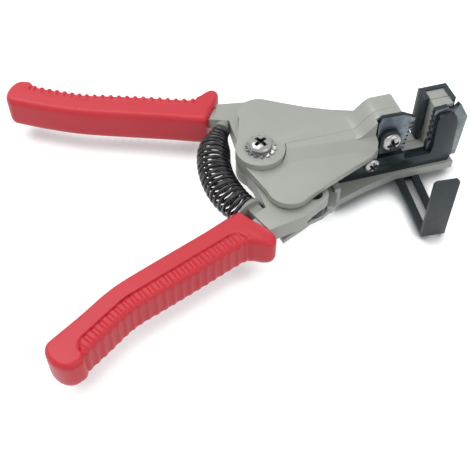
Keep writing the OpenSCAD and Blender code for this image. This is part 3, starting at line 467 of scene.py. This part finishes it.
def grip_outline(lean, length_share):
    """The grip seen from above: outline points, the point of the middle line that each belongs to,
    and the distance along the outer edge, which is NO_BAND at the butt and minus NO_BAND on the inner
    edge and the head. The grip sits off the lever's line by lean, and by half of that at its butt."""
    length = STRAIGHT + BUTT
    outer_at = np.concatenate([np.linspace(FIRST_PLACE, BAND_START, 26)[:-1],
                               np.linspace(BAND_START, BAND_END, RIB_COUNT * STEPS_PER_RIB + 1),
                               np.linspace(BAND_END, length, 16)[1:]])
    inner_at = np.linspace(HEAD_SLANT + FIRST_PLACE, length, 70)
    outer_c, outer_n = centre_line(outer_at)
    inner_c, inner_n = centre_line(inner_at)
    outer = outer_c + outer_n * smooth_line(OUTER_PLACES, OUTER_WIDTHS, outer_at)[:, None]
    inner = inner_c - inner_n * smooth_line(INNER_PLACES, INNER_WIDTHS, inner_at)[:, None]
    middle, side = outer_c[-1], outer_n[-1]
    ahead = np.array([side[1], -side[0]]) * BUTT_ROUND
    turns = np.linspace(0.0, math.pi, 30)[1:-1]
    radius = OUTER_WIDTHS[-1] + (INNER_WIDTHS[-1] - OUTER_WIDTHS[-1]) * soft_step(turns / math.pi)
    butt = middle + radius[:, None] * (np.cos(turns)[:, None] * side + np.sin(turns)[:, None] * ahead)
    head_v = np.linspace(-INNER_WIDTHS[0] * HEAD_SHARE, OUTER_WIDTHS[0] * HEAD_SHARE, HEAD_POINTS)
    head_u = HEAD_SLANT * np.clip((GRIP_OUT - head_v) / (GRIP_OUT + GRIP_IN), 0, 1)
    head = np.stack([head_u, head_v], 1)
    outline = np.concatenate([outer, butt, inner[::-1], head])
    head_feet = np.tile([[FIRST_FOOT, 0.0]], (HEAD_POINTS, 1))
    feet = np.concatenate([grip_foot(outer_c, outer_at), np.tile(middle, (len(butt), 1)),
                           grip_foot(inner_c, inner_at)[::-1], head_feet])
    along = np.concatenate([outer_at, np.full(len(butt), NO_BAND),
                            np.full(len(inner) + HEAD_POINTS, -NO_BAND)])
    for points in (outline, feet):
        points[:, 1] += lean * (1 - 0.5 * soft_step((points[:, 0] - LEAN_START) / LEAN_REACH))
        points[:, 0] *= length_share
    return outline, feet, along


def on_banded_side(kind, upper):
    """Whether this ring of the section lies on the side that carries the full ribbed band."""
    return kind.startswith("low") if upper else kind.startswith("top")


def section_ring(kind, value, distance, top_r, low_r):
    """One ring round the plain grip: its way in from the outline, its height, and the outward and
    upward shares of its facing."""
    wall_low, wall_top = GRIP_LOW + low_r, GRIP_TOP - top_r
    c, s = math.cos(math.radians(value)), math.sin(math.radians(value))
    if kind == "low_face":
        return low_r + np.maximum(distance - low_r, LEAST_FACE) * value, GRIP_LOW, 0.0, -1.0
    if kind == "low_edge":
        return low_r * (1 - s), GRIP_LOW + low_r * (1 - c), s, -c
    if kind == "wall":
        return np.zeros(distance.shape), wall_low + (wall_top - wall_low) * value, 1.0, 0.0
    if kind == "top_edge":
        return np.full(distance.shape, top_r * (1 - c)), wall_top + top_r * s, c, s
    return top_r + np.maximum(distance - top_r, LEAST_FACE) * value, GRIP_TOP, 0.0, 1.0


def inside_band(kind, value, along, distance, radius, upper):
    """How far each point of a ring lies inside the ribbed band, with the band's corners rounded. On
    the banded side the band reaches the middle line, and on the other it laps over the edge."""
    ends = np.minimum(along - BAND_START, BAND_END - along)
    if kind == "wall":
        return ends
    face = np.maximum(distance - radius, LEAST_FACE)
    border = face * (1 - value) if kind.endswith("face") else face + radius * math.radians(value)
    corner = BAND_CORNER
    if not on_banded_side(kind, upper):
        border = border - (face - (TOP_LAP if kind.startswith("top") else LOW_LAP))
        corner = LAP_CORNER
    inside = corner - np.hypot(np.maximum(corner - ends, 0), np.maximum(corner - border, 0))
    return np.where((ends > 0) & (border > 0), inside, -1.0)


def rib_share(kind, value, upper):
    """How fully the ribs stand out on a ring: 1 is full, and 0 leaves an almost level band."""
    if kind == "wall":
        return UPPER_WALL_RIBS if upper else LOWER_WALL_RIBS
    if kind.endswith("edge") and on_banded_side(kind, upper):
        return EDGE_RIBS + EDGE_RIBS_SWING * abs(math.cos(math.radians(2 * value)))
    return LAP_RIBS if kind == "low_edge" else 1.0


def band_depth(inside, along, share):
    """How far the skin lies below the plain grip in the band, between and on its ribs."""
    phase = (along - BAND_START) / (BAND_END - BAND_START) * RIB_COUNT
    off_middle = np.abs(phase - np.floor(phase) - 0.5) * 2
    rib = 1 - soft_step((off_middle - RIB_TOP) / RIB_FLANK)
    recess = BAND_DEPTH * soft_step(inside / BAND_BORDER)
    level = SMOOTH_FILL * recess
    rise = level - (level - RIB_HEIGHT * rib * soft_step((inside - RIB_START) / RIB_RAMP)) * share
    return recess - rise


def grip_point(u, v):
    """A place along and across the lower grip, from its head, as X and Y from the pivot."""
    c, s = math.cos(math.radians(GRIP_ANGLE)), math.sin(math.radians(GRIP_ANGLE))
    return np.array([GRIP_HEAD[0] - u * c + v * s, GRIP_HEAD[1] - u * s - v * c])


def grip_piece(name, body, node, upper):
    """One moulded grip. The ribbed band lies on its top on the lower grip, and underneath on the
    upper one, because both handles carry the same moulding, turned over."""
    outline, feet, along = grip_outline(*(UPPER_SHAPE if upper else LOWER_SHAPE))
    top_r, low_r = UPPER_ROUNDING if upper else LOWER_ROUNDING
    reach = feet - outline
    distance = np.linalg.norm(reach, axis=1)
    inward = reach / distance[:, None]
    low_r = np.minimum(low_r, distance * MOST_ROUNDING)
    guard = soft_step((GUARD_END - np.abs(along)) / GUARD_REACH) * (along > 0)
    rings = []
    for kind, value in SECTION:
        way, height, out, up = section_ring(kind, value, distance, top_r, low_r)
        radius = top_r if kind.startswith("top") else low_r
        inside = inside_band(kind, value, along, distance, radius, upper)
        depth = band_depth(inside, along, rib_share(kind, value, upper))
        drop, crown = 0.0, 0.0
        if on_banded_side(kind, upper):
            drop = up * guard * GUARD_DROP * np.clip(1 - way / GUARD_REACH, 0, 1) ** 2
        if kind == "top_face":
            crown = CROWN * (1 - np.clip(way / distance, 0, 1)) ** 2
        flat = outline + inward * (way + depth * out)[:, None]
        z = height - depth * up - drop - crown
        rings.append(np.column_stack([flat, np.broadcast_to(z, distance.shape)]))
    u, v, z = np.concatenate(rings).T
    x, y = grip_point(u, v)
    if upper:
        y = -y
    mesh = folded_skin(name, in_frame(np.column_stack([x, y, z])), len(rings))
    return settle(name, mesh, body, red_vinyl, (node,), 50.0)


def folded_skin(name, vertices, ring_count):
    """A closed skin over rings of points, whose first and last rings fold onto a line."""
    count = len(vertices) // ring_count
    faces = []
    for start in range(0, count * (ring_count - 1), count):
        for i in range(count):
            j = (i + 1) % count
            faces.append((start + i, start + j, start + count + j, start + count + i))
    mesh = bpy.data.meshes.new(name)
    mesh.from_pydata([tuple(p) for p in vertices], [], faces)
    build = bmesh.new()
    build.from_mesh(mesh)
    bmesh.ops.remove_doubles(build, verts=build.verts, dist=SAME_GRIP_POINT)
    bmesh.ops.dissolve_degenerate(build, edges=build.edges, dist=SAME_POINT)
    bmesh.ops.holes_fill(build, edges=build.edges, sides=0)
    bmesh.ops.recalc_face_normals(build, faces=build.faces)
    build.to_mesh(mesh)
    build.free()
    return mesh


grip_piece("lower_grip_moulding", "lower_handle", "lower_grip", upper=False)
grip_piece("upper_grip_moulding", "upper_handle", "upper_grip", upper=True)


# Handle spring
WIRE = 1.4
WIRE_SIDES = 10
COILS = 20
POINTS_PER_COIL = 30
NARROW_WIDTH, BELLY_WIDTH, WIDE_WIDTH = 7.0, 13.2, 12.0
# Shares of the spring's length: the unwound tip, the end of the swelling and the start of the taper
TIP_SHARE = 0.006
SWELL_END = 0.3
TAPER_START = 0.7
# How far the spring bows out, and the height of its middle line
SPRING_BOW = 7.0
LEVER_MIDDLE = 17.95
# The seats of its ends: how far they stand ahead of the grips' heads, and how high they are on the
# upper lever's arm, which reaches a share of the grip's width inwards, and on the lower grip
UPPER_SEAT_AHEAD, LOWER_SEAT_AHEAD = 3.0, 0.6
UPPER_SEAT_HEIGHT, LOWER_SEAT_HEIGHT = 2.5, 1.8
ARM_SHARE = 0.31
UPPER_END = (-UPPER_SEAT_AHEAD, -ARM_SHARE * (GRIP_IN + GRIP_OUT) - UPPER_SEAT_HEIGHT)
LOWER_END = (-LOWER_SEAT_AHEAD, -GRIP_IN - LOWER_SEAT_HEIGHT)


def spring_arc():
    """The round arc that the spring follows: its middle, radius, first angle and sweep."""
    top = grip_point(*UPPER_END) * [1, -1]
    low = grip_point(*LOWER_END)
    chord = low - top
    length = np.linalg.norm(chord)
    radius = (length ** 2 / 4 + SPRING_BOW ** 2) / (2 * SPRING_BOW)
    half = math.asin(length / 2 / radius)
    side = np.array([chord[1], -chord[0]]) / length
    middle = (top + low) / 2 - side * (radius - SPRING_BOW)
    return middle, radius, math.atan2(side[1], side[0]) - half, 2 * half


def make_coil_tree():
    """A wire wound round an arc, swelling from a narrow end to a belly."""
    board, entry, leave = group_board(
        "wound_spring", "GeometryNodeTree",
        [("Coils", "NodeSocketFloat", 24.0), ("Points", "NodeSocketInt", 700),
         ("Wire Radius", "NodeSocketFloat", 0.0005), ("Arc Middle", "NodeSocketVector", (0, 0, 0)),
         ("Arc Radius", "NodeSocketFloat", 0.05), ("First Angle", "NodeSocketFloat", 0.0),
         ("Sweep", "NodeSocketFloat", 1.0), ("Narrow", "NodeSocketFloat", 0.003),
         ("Belly", "NodeSocketFloat", 0.006), ("Wide", "NodeSocketFloat", 0.0055),
         ("Swell", "NodeSocketFloat", SWELL_END), ("Finish", "NodeSocketMaterial", None)],
        [("Spring", "NodeSocketGeometry", None)])
    given = entry.outputs
    line = board.add("GeometryNodeCurvePrimitiveLine", {"End": (0.0, 0.0, 1.0)})
    points = board.add("GeometryNodeResampleCurve", {"Curve": line.outputs["Curve"],
                                                     "Count": given["Points"]})
    share = board.add("GeometryNodeSplineParameter").outputs["Factor"]
    wound = board.spread(share, TIP_SHARE, 1 - TIP_SHARE)
    turn = board.sum("ADD", board.sum("MULTIPLY", wound, board.sum("MULTIPLY", given["Coils"], math.tau)),
                     math.pi)
    swell = board.spread(share, 0.0, given["Swell"], smooth=True)
    taper = board.spread(share, TAPER_START, 1.0, smooth=True)
    radius = board.sum("ADD", given["Narrow"], board.sum(
        "ADD", board.sum("MULTIPLY", swell, board.sum("SUBTRACT", given["Belly"], given["Narrow"])),
        board.sum("MULTIPLY", taper, board.sum("SUBTRACT", given["Wide"], given["Belly"]))))
    angle = board.sum("ADD", given["First Angle"], board.sum("MULTIPLY", given["Sweep"], share))
    out = board.sum("ADD", given["Arc Radius"], board.sum("MULTIPLY", radius, board.sum("COSINE", turn)))
    spot = board.add("ShaderNodeCombineXYZ", {
        "X": board.sum("MULTIPLY", out, board.sum("COSINE", angle)),
        "Y": board.sum("MULTIPLY", out, board.sum("SINE", angle)),
        "Z": board.sum("MULTIPLY", radius, board.sum("SINE", turn))})
    placed = board.add("GeometryNodeSetPosition", {
        "Geometry": points.outputs["Curve"],
        "Position": board.vector("ADD", spot.outputs["Vector"], given["Arc Middle"])})
    round_wire = board.add("GeometryNodeCurvePrimitiveCircle", {"Resolution": WIRE_SIDES,
                                                                "Radius": given["Wire Radius"]})
    tube = board.add("GeometryNodeCurveToMesh", {"Curve": placed.outputs["Geometry"],
                                                 "Profile Curve": round_wire.outputs["Curve"],
                                                 "Fill Caps": True})
    finish_tree(board, tube.outputs["Mesh"], given["Finish"], leave.inputs["Spring"])
    return board.tree


def finish_tree(board, geometry, material, outlet):
    """The end of a geometry tree: instances made real, and the material set."""
    real = board.add("GeometryNodeRealizeInstances", {"Geometry": geometry})
    done = board.add("GeometryNodeSetMaterial", {"Geometry": real.outputs["Geometry"], "Material": material})
    board.feed(outlet, done.outputs["Geometry"])


def from_tree(name, tree, values):
    """The plain mesh that a geometry tree makes with these named sizes."""
    carrier = placed_object(name + "_carrier", bpy.data.meshes.new(name + "_empty"))
    modifier = carrier.modifiers.new("shape", "NODES")
    modifier.node_group = tree
    for item in tree.interface.items_tree:
        if item.item_type == "SOCKET" and item.in_out == "INPUT" and item.name in values:
            modifier[item.identifier] = values[item.name]
    mesh = frozen(carrier)
    mesh.name = name
    return mesh


def make_spring():
    """The handle spring, one unbroken wire that belongs to neither handle."""
    middle, radius, first, sweep = spring_arc()
    spot = in_frame([[middle[0], middle[1], LEVER_MIDDLE]])[0]
    mesh = from_tree("handle_spring_coil", make_coil_tree(), {
        "Coils": float(COILS), "Points": COILS * POINTS_PER_COIL, "Wire Radius": WIRE / 2 * MM,
        "Arc Middle": [float(x) for x in spot], "Arc Radius": float(radius * MM), "First Angle": float(first),
        "Sweep": float(sweep), "Narrow": (NARROW_WIDTH - WIRE) / 2 * MM,
        "Belly": (BELLY_WIDTH - WIRE) / 2 * MM, "Wide": (WIDE_WIDTH - WIRE) / 2 * MM,
        "Swell": SWELL_END, "Finish": spring_black})
    piece = settle("handle_spring_coil", mesh, None, spring_black, ("handle_spring",))
    ends = [in_frame([[middle[0] + radius * math.cos(a), middle[1] + radius * math.sin(a), LEVER_MIDDLE]])[0]
            for a in (first, first + sweep)]
    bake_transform(piece)
    return piece


make_spring()


# Toothed washer
WASHER_TEETH = 14
WASHER_INNER, WASHER_ROOT, WASHER_THICKNESS = 3.1, 4.9, 0.7
TOOTH_LENGTH, TOOTH_WIDTH, TOOTH_THICKNESS = 2.0, 1.5, 0.5
TOOTH_TWIST = 0.42
# How much a tooth narrows outwards, as a share of its width for each metre
TOOTH_TAPER = 260.0
RING_STEPS = 96


def make_washer_tree():
    """A flat ring with twisted teeth round it."""
    board, entry, leave = group_board(
        "toothed_washer", "GeometryNodeTree",
        [("Teeth", "NodeSocketInt", 12), ("Middle", "NodeSocketVector", (0, 0, 0)),
         ("Inner Radius", "NodeSocketFloat", 0.003), ("Root Radius", "NodeSocketFloat", 0.0046),
         ("Tooth", "NodeSocketVector", (0.0016, 0.0014, 0.0006)), ("Twist", "NodeSocketFloat", 0.35),
         ("Thickness", "NodeSocketFloat", 0.0006), ("Finish", "NodeSocketMaterial", None)],
        [("Washer", "NodeSocketGeometry", None)])
    given = entry.outputs
    both_radii = board.sum("ADD", given["Inner Radius"], given["Root Radius"])
    path = board.add("GeometryNodeCurvePrimitiveCircle", {
        "Resolution": RING_STEPS, "Radius": board.sum("MULTIPLY", both_radii, 0.5)})
    band = board.add("GeometryNodeCurvePrimitiveQuadrilateral", {
        "Width": board.sum("SUBTRACT", given["Root Radius"], given["Inner Radius"]),
        "Height": given["Thickness"]})
    ring = board.add("GeometryNodeCurveToMesh", {"Curve": path.outputs["Curve"],
                                                 "Profile Curve": band.outputs["Curve"]})
    tooth = board.add("GeometryNodeMeshCube", {"Size": given["Tooth"], "Vertices X": 3, "Vertices Y": 3,
                                               "Vertices Z": 2})
    place = board.add("GeometryNodeInputPosition").outputs["Position"]
    parts = board.add("ShaderNodeSeparateXYZ", {"Vector": place})
    narrow = board.sum("SUBTRACT", 1.0, board.sum("MULTIPLY", parts.outputs["X"], TOOTH_TAPER))
    shaped = board.add("ShaderNodeCombineXYZ", {"X": parts.outputs["X"],
                                                "Y": board.sum("MULTIPLY", parts.outputs["Y"], narrow),
                                                "Z": parts.outputs["Z"]})
    cut = board.add("GeometryNodeSetPosition", {"Geometry": tooth.outputs["Mesh"],
                                                "Position": shaped.outputs["Vector"]})
    twisted = board.add("GeometryNodeTransform", {
        "Geometry": cut.outputs["Geometry"],
        "Rotation": board.add("ShaderNodeCombineXYZ", {"X": given["Twist"]}).outputs["Vector"]})
    spots = board.add("GeometryNodeCurvePrimitiveCircle", {"Resolution": given["Teeth"],
                                                           "Radius": given["Root Radius"]})
    points = board.add("GeometryNodeCurveToPoints", {"Curve": spots.outputs["Curve"]}, mode="EVALUATED")
    facing = board.add("FunctionNodeAlignRotationToVector", {
        "Vector": board.add("GeometryNodeInputPosition").outputs["Position"]}, axis="X", pivot_axis="Z")
    teeth = board.add("GeometryNodeInstanceOnPoints", {"Points": points.outputs["Points"],
                                                       "Instance": twisted.outputs["Geometry"],
                                                       "Rotation": facing.outputs["Rotation"]})
    both = board.add("GeometryNodeJoinGeometry")
    board.tree.links.new(ring.outputs["Mesh"], both.inputs["Geometry"])
    board.tree.links.new(teeth.outputs["Instances"], both.inputs["Geometry"])
    placed = board.add("GeometryNodeTransform", {"Geometry": both.outputs["Geometry"],
                                                 "Translation": given["Middle"]})
    finish_tree(board, placed.outputs["Geometry"], given["Finish"], leave.inputs["Washer"])
    return board.tree


def make_washer():
    """The toothed washer under the pivot screw's head, at the place of the CAD washer."""
    centre = (washer_low + washer_high) / 2
    mesh = from_tree("lock_washer", make_washer_tree(), {
        "Teeth": WASHER_TEETH, "Middle": list(centre), "Inner Radius": WASHER_INNER * MM,
        "Root Radius": WASHER_ROOT * MM,
        "Tooth": [TOOTH_LENGTH * MM, TOOTH_WIDTH * MM, TOOTH_THICKNESS * MM], "Twist": TOOTH_TWIST,
        "Thickness": WASHER_THICKNESS * MM, "Finish": nickel})
    build = bmesh.new()
    build.from_mesh(mesh)
    bmesh.ops.remove_doubles(build, verts=build.verts, dist=SAME_POINT)
    bmesh.ops.recalc_face_normals(build, faces=build.faces)
    build.to_mesh(mesh)
    build.free()
    return settle("lock_washer", mesh, "lower_handle", nickel, ("star_washer",), 30.0)


make_washer()


# Screws

# Directions that the heads face
UP, DOWN, TO_FRONT, TO_BACK = (0, 0, 1), (0, 0, -1), (0, -1, 0), (0, 1, 0)
# The outline of a screw, in shares of the shank's radius, the head's radius and the head's height
SHANK_TIP, SHANK_CHAMFER = 0.8, 0.3
UNDER_HEAD, UNDER_CHAMFER = 0.97, 0.06
RIM_HEIGHT = 0.3
# Powers of the dome's radius and height: it is fuller at its side and flatter on top than a round one
DOME_WIDTH, DOME_HEIGHT = 0.78, 1.15
# The cross recess, in shares of the head's radius and height, and of its own width at the top
RECESS_FLOOR_LENGTH, RECESS_TOP_LENGTH = 0.42, 0.78
RECESS_WIDTH, RECESS_FLOOR_WIDTH = 0.4, 0.55
RECESS_LIFT = 0.3
SCREW_BEVEL, SCREW_BEVEL_ANGLE = 0.07, 32
# Faces of a box by its corners: the lower four in turn, then the upper four
BOX_FACES = [(0, 3, 2, 1), (4, 5, 6, 7), (0, 1, 5, 4), (1, 2, 6, 5), (2, 3, 7, 6), (3, 0, 4, 7)]


def revolved(profile, steps=64):
    """A closed solid of revolution round Z from (radius, height) points that start and end on the axis."""
    rings, vertices, faces = [], [], []
    for radius, height in profile:
        if radius <= 0:
            rings.append([len(vertices)])
            vertices.append((0.0, 0.0, height))
        else:
            rings.append(list(range(len(vertices), len(vertices) + steps)))
            turns = [math.tau * k / steps for k in range(steps)]
            vertices += [(radius * math.cos(turn), radius * math.sin(turn), height) for turn in turns]
    for low, high in zip(rings, rings[1:]):
        for k in range(steps):
            j = (k + 1) % steps
            corners = [low[k % len(low)], low[j % len(low)], high[j % len(high)], high[k % len(high)]]
            corners = list(dict.fromkeys(corners))
            if len(corners) > 2:
                faces.append(corners)
    return vertices, faces


def cross_bars(radius, depth, lift, wing):
    """The two crossed bars that cut a screw's recess, each longer and wider at its top."""
    bars = []
    for turn in (0.0, 90.0):
        c, s = math.cos(math.radians(turn)), math.sin(math.radians(turn))
        corners = []
        for height, length, width in ((-depth, radius * RECESS_FLOOR_LENGTH, wing * RECESS_FLOOR_WIDTH),
                                      (lift, radius * RECESS_TOP_LENGTH, wing)):
            half = width / 2
            for a, b in ((-length, -half), (length, -half), (length, half), (-length, half)):
                corners.append((a * c - b * s, a * s + b * c, height))
        mesh = bpy.data.meshes.new("cross_bar")
        mesh.from_pydata(corners, [], BOX_FACES)
        bars.append(placed_object("cross_bar", mesh))
    return bars


def head_place(node, axis, height):
    """The middle of the underside of a CAD screw's head, which lies at the axis' end of its box."""
    low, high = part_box(node)
    middle, half = (low + high) / 2, (high - low) / 2
    return [middle[i] + axis[i] * (half[i] - height * MM) for i in range(3)]


def screw_outline(radius, height, shank_r, shank_l):
    """Half the outline of a screw, from the middle of its tip to the middle of its domed head."""
    profile = [(0.0, -shank_l), (shank_r * SHANK_TIP, -shank_l),
               (shank_r, -shank_l + shank_r * SHANK_CHAMFER), (shank_r, 0.0),
               (radius * UNDER_HEAD, 0.0), (radius, height * UNDER_CHAMFER), (radius, height * RIM_HEIGHT)]
    for turn in np.linspace(0.0, 90.0, 14)[1:-1]:
        c, s = math.cos(math.radians(turn)), math.sin(math.radians(turn))
        rise = RIM_HEIGHT + (1 - RIM_HEIGHT) * s ** DOME_HEIGHT
        profile.append((radius * c ** DOME_WIDTH, height * rise))
    return profile + [(0.0, height)]


def screw(name, node, body, axis, head, shank, turn, recess=0.62):
    """A domed screw with a dark cross recess, in place of the CAD screw. head and shank are radius and
    length in mm, and recess is the depth of the cross as a share of the head's height."""
    radius, height = head
    vertices, faces = revolved([(r * MM, z * MM) for r, z in screw_outline(*head, *shank)])
    mesh = bpy.data.meshes.new(name)
    mesh.from_pydata(vertices, [], faces)
    mesh.materials.append(nickel)
    blank = placed_object(name + "_blank", mesh)
    bars = cross_bars(radius * MM, height * recess * MM, height * RECESS_LIFT * MM,
                      radius * RECESS_WIDTH * MM)
    for bar in bars:
        bar.data.transform(Matrix.Translation((0, 0, height * MM)))
        bar.data.materials.append(recess_dark)
        bite = blank.modifiers.new("recess", "BOOLEAN")
        bite.object = bar
        bite.operation = "DIFFERENCE"
        bite.solver = "EXACT"
        bite.material_mode = "TRANSFER"
    break_edges(blank, SCREW_BEVEL, 2, SCREW_BEVEL_ANGLE)
    finished = frozen(blank)
    for bar in bars:
        bpy.data.objects.remove(bar)
    z = Vector(axis).normalized()
    x = Vector((1, 0, 0)) if abs(z.x) < 0.9 else Vector((0, 1, 0))
    y = z.cross(x).normalized()
    x = y.cross(z)
    spin = Matrix.Rotation(math.radians(turn), 4, "Z")
    stand = Matrix((x, y, z)).transposed().to_4x4()
    finished.transform(Matrix.Translation(head_place(node, axis, height)) @ stand @ spin)
    return settle(name, finished, body, None, (node,), 30.0)


screw("pivot_screw_head", "pivot_screw", "lower_handle", UP, (4.4, 2.4), (3.0, 17.7), 28.0)
screw("front_blade_screw_head", "front_blade_screw", "cutter_carriage", TO_FRONT, (3.2, 2.4),
      (1.5, 5.6), 40.0)
screw("rear_blade_screw_head", "rear_blade_screw", "cutter_head", TO_FRONT, (3.9, 2.4), (1.5, 5.6), 15.0)
screw("front_pad_screw_head", "front_pad_screw", "gripper_carriage", TO_BACK, (3.9, 2.4), (1.5, 4.4), 25.0)
screw("rear_pad_screw_head", "rear_pad_screw", "gripper_head", TO_BACK, (3.9, 2.4), (1.5, 5.6), 10.0)
screw("stop_clamp_screw_head", "stop_clamp_screw", "cutter_carriage", DOWN, (2.9, 0.9), (1.5, 5.9), 20.0,
      recess=0.7)


# Parts that keep the CAD shape

# Name, CAD node, body, finish, slot, width of the broken edges in mm, and the steps across them
KEPT_SHAPES = (
    ("upper_lever_casting", "upper_lever", "upper_handle", casting, "casting", 0.5, 3),
    ("lower_lever_casting", "lower_lever", "lower_handle", casting, "casting", 0.5, 3),
    ("gripper_plate_casting", "gripper_plate", "gripper_head", casting, "casting", 0.4, 3),
    ("cutter_plate_casting", "cutter_plate", "cutter_head", casting, "casting", 0.4, 3),
    ("gripper_frame_casting", "gripper_frame", "gripper_carriage", casting, "casting", 0.4, 3),
    ("cutter_frame_casting", "cutter_frame", "cutter_carriage", casting, "casting", 0.4, 3),
    ("front_blade_ground", "front_blade", "cutter_carriage", blade_steel, "steel", 0.15, 2),
    ("rear_blade_ground", "rear_blade", "cutter_head", dark_blade, "steel", 0.15, 2),
    ("front_clamp_plate", "front_blade_clamp", "cutter_carriage", black_oxide, "black", 0.6, 3),
    ("rear_clamp_plate", "rear_blade_clamp", "cutter_head", black_oxide, "black", 0.6, 3),
    ("front_grip_pad", "front_pad", "gripper_carriage", pad_black, "black", 0.12, 2),
    ("rear_grip_pad", "rear_pad", "gripper_head", pad_black, "black", 0.12, 2),
    ("wire_stop_sheet", "wire_stop", "stop", stop_black, "black", 0.25, 2),
    ("stop_clamp_bar", "stop_clamp_plate", "cutter_carriage", black_oxide, "black", 0.2, 2),
    ("pivot_nut_hex", "pivot_nut", "lower_handle", nickel, "nickel", 0.3, 2),
    ("upper_eye_pin_turned", "upper_eye_pin", "upper_handle", pin_steel, "steel", 0.25, 2),
    ("lower_eye_pin_turned", "lower_eye_pin", "lower_handle", pin_steel, "steel", 0.25, 2),
    ("upper_roller_turned", "upper_roller", "upper_handle", black_oxide, "steel", 0.25, 2),
    ("lower_roller_turned", "lower_roller", "lower_handle", black_oxide, "steel", 0.25, 2),
    ("gripper_pins_turned", "gripper_guide_pins", "gripper_head", pin_steel, "steel", 0.15, 2),
    ("cutter_pins_turned", "cutter_guide_pins", "cutter_head", pin_steel, "steel", 0.15, 2),
    ("upper_seat_plug", "upper_spring_seat", "upper_handle", seat_cast, "seat", 0.25, 2),
    ("lower_seat_plug", "lower_spring_seat", "lower_handle", seat_cast, "seat", 0.25, 2))

for kept_shape in KEPT_SHAPES:
    dressed(*kept_shape)


# Floor, light and camera

# Half the floor's width in metres
FLOOR_HALF = 3
# The floor's own brightness for the camera and reflections, and how it fades beside the tool: the
# reach of the shadow in mm, and how open the floor is to the sky where it is darkest and where it is clear
FLOOR_GLOW = 0.82
SHADOW_REACH = 11
DARKEST_AT, CLEAR_AT = 0.5, 0.88
# Strength of the white sky on the tool, and as the camera and reflections see it
SKY_ON_TOOL, SKY_SEEN = 0.6, 1.0
# Camera in mm of the shared frame, fitted to the photo's perspective
CAMERA_PLACE = (-66.432, -203.341, 238.669)
CAMERA_TARGET = (-12.665, -21.36, 6.5)
CAMERA_LENS, CAMERA_SENSOR = 61.49, 36.0


def seen_rays(board):
    """1 for the rays of the camera, of reflections and of clear materials, and 0 for all others."""
    rays = board.add("ShaderNodeLightPath").outputs
    return board.sum("MAXIMUM", rays["Is Camera Ray"],
                     board.sum("MAXIMUM", rays["Is Glossy Ray"], rays["Is Transmission Ray"]))


def make_floor():
    """A plain pale floor, near white to the camera, with soft shadows where the tool is close."""
    mesh = bpy.data.meshes.new("floor")
    corners = [(x * FLOOR_HALF, y * FLOOR_HALF, 0) for x, y in ((-1, -1), (1, -1), (1, 1), (-1, 1))]
    mesh.from_pydata(corners, [], [(0, 1, 2, 3)])
    floor = placed_object("floor", mesh)
    material = bpy.data.materials.new("pale_floor")
    material.use_nodes = True
    board = Board(material.node_tree)
    surface = material.node_tree.nodes["Principled BSDF"]
    speck = board.add("ShaderNodeTexNoise", {"Scale": 40.0})
    surface.inputs["Base Color"].default_value = rgb(196, 198, 200)
    board.feed(surface.inputs["Roughness"], board.spread(speck.outputs["Fac"], 0.0, 1.0, 0.85, 0.95))
    surface.inputs["Specular IOR Level"].default_value = 0.2
    surface.inputs["Emission Color"].default_value = (1, 1, 1, 1)
    seen = seen_rays(board)
    near = board.add("ShaderNodeAmbientOcclusion", samples=12)
    near.inputs["Distance"].default_value = SHADOW_REACH * MM
    clear = board.spread(near.outputs["AO"], DARKEST_AT, CLEAR_AT, 0.0, FLOOR_GLOW, smooth=True)
    board.feed(surface.inputs["Emission Strength"], board.sum("MULTIPLY", seen, clear))
    mesh.materials.append(material)


def make_world():
    """A white studio, which lights the tool less strongly than the camera sees it."""
    world = bpy.data.worlds.new("studio")
    bpy.context.scene.world = world
    world.use_nodes = True
    board = Board(world.node_tree)
    back = world.node_tree.nodes["Background"]
    back.inputs["Color"].default_value = (1, 1, 1, 1)
    board.feed(back.inputs["Strength"], board.spread(seen_rays(board), 0.0, 1.0, SKY_ON_TOOL, SKY_SEEN))


def soft_box(name, place, target, size, power):
    """A rectangular lamp. Place, target and size are in metres and power in watts."""
    light = bpy.data.lights.new(name, "AREA")
    light.shape = "RECTANGLE"
    light.size, light.size_y = size
    light.energy = power
    lamp = placed_object(name, light)
    lamp.location = place
    aim(lamp, Vector(target))


def aim(thing, target):
    """Turns a lamp or camera towards a point."""
    thing.rotation_mode = "QUATERNION"
    thing.rotation_quaternion = (target - thing.location).to_track_quat("-Z", "Y")


def make_camera():
    """The camera at the photograph's viewing angle."""
    camera = placed_object("camera", bpy.data.cameras.new("camera"))
    camera.location = Vector(CAMERA_PLACE) * MM
    aim(camera, Vector(CAMERA_TARGET) * MM)
    camera.data.sensor_width = CAMERA_SENSOR
    camera.data.lens = CAMERA_LENS
    camera.data.clip_start, camera.data.clip_end = 0.01, 20.0
    bpy.context.scene.camera = camera


make_floor()
make_world()
soft_box("key_light", (-0.25, 0.25, 0.75), (0, 0, 0), (0.7, 0.7), 3.3)
soft_box("front_light", (0.35, -0.6, 0.45), (0, 0, 0.01), (0.6, 0.4), 0.8)
make_camera()
bpy.context.scene.view_settings.view_transform = "Standard"
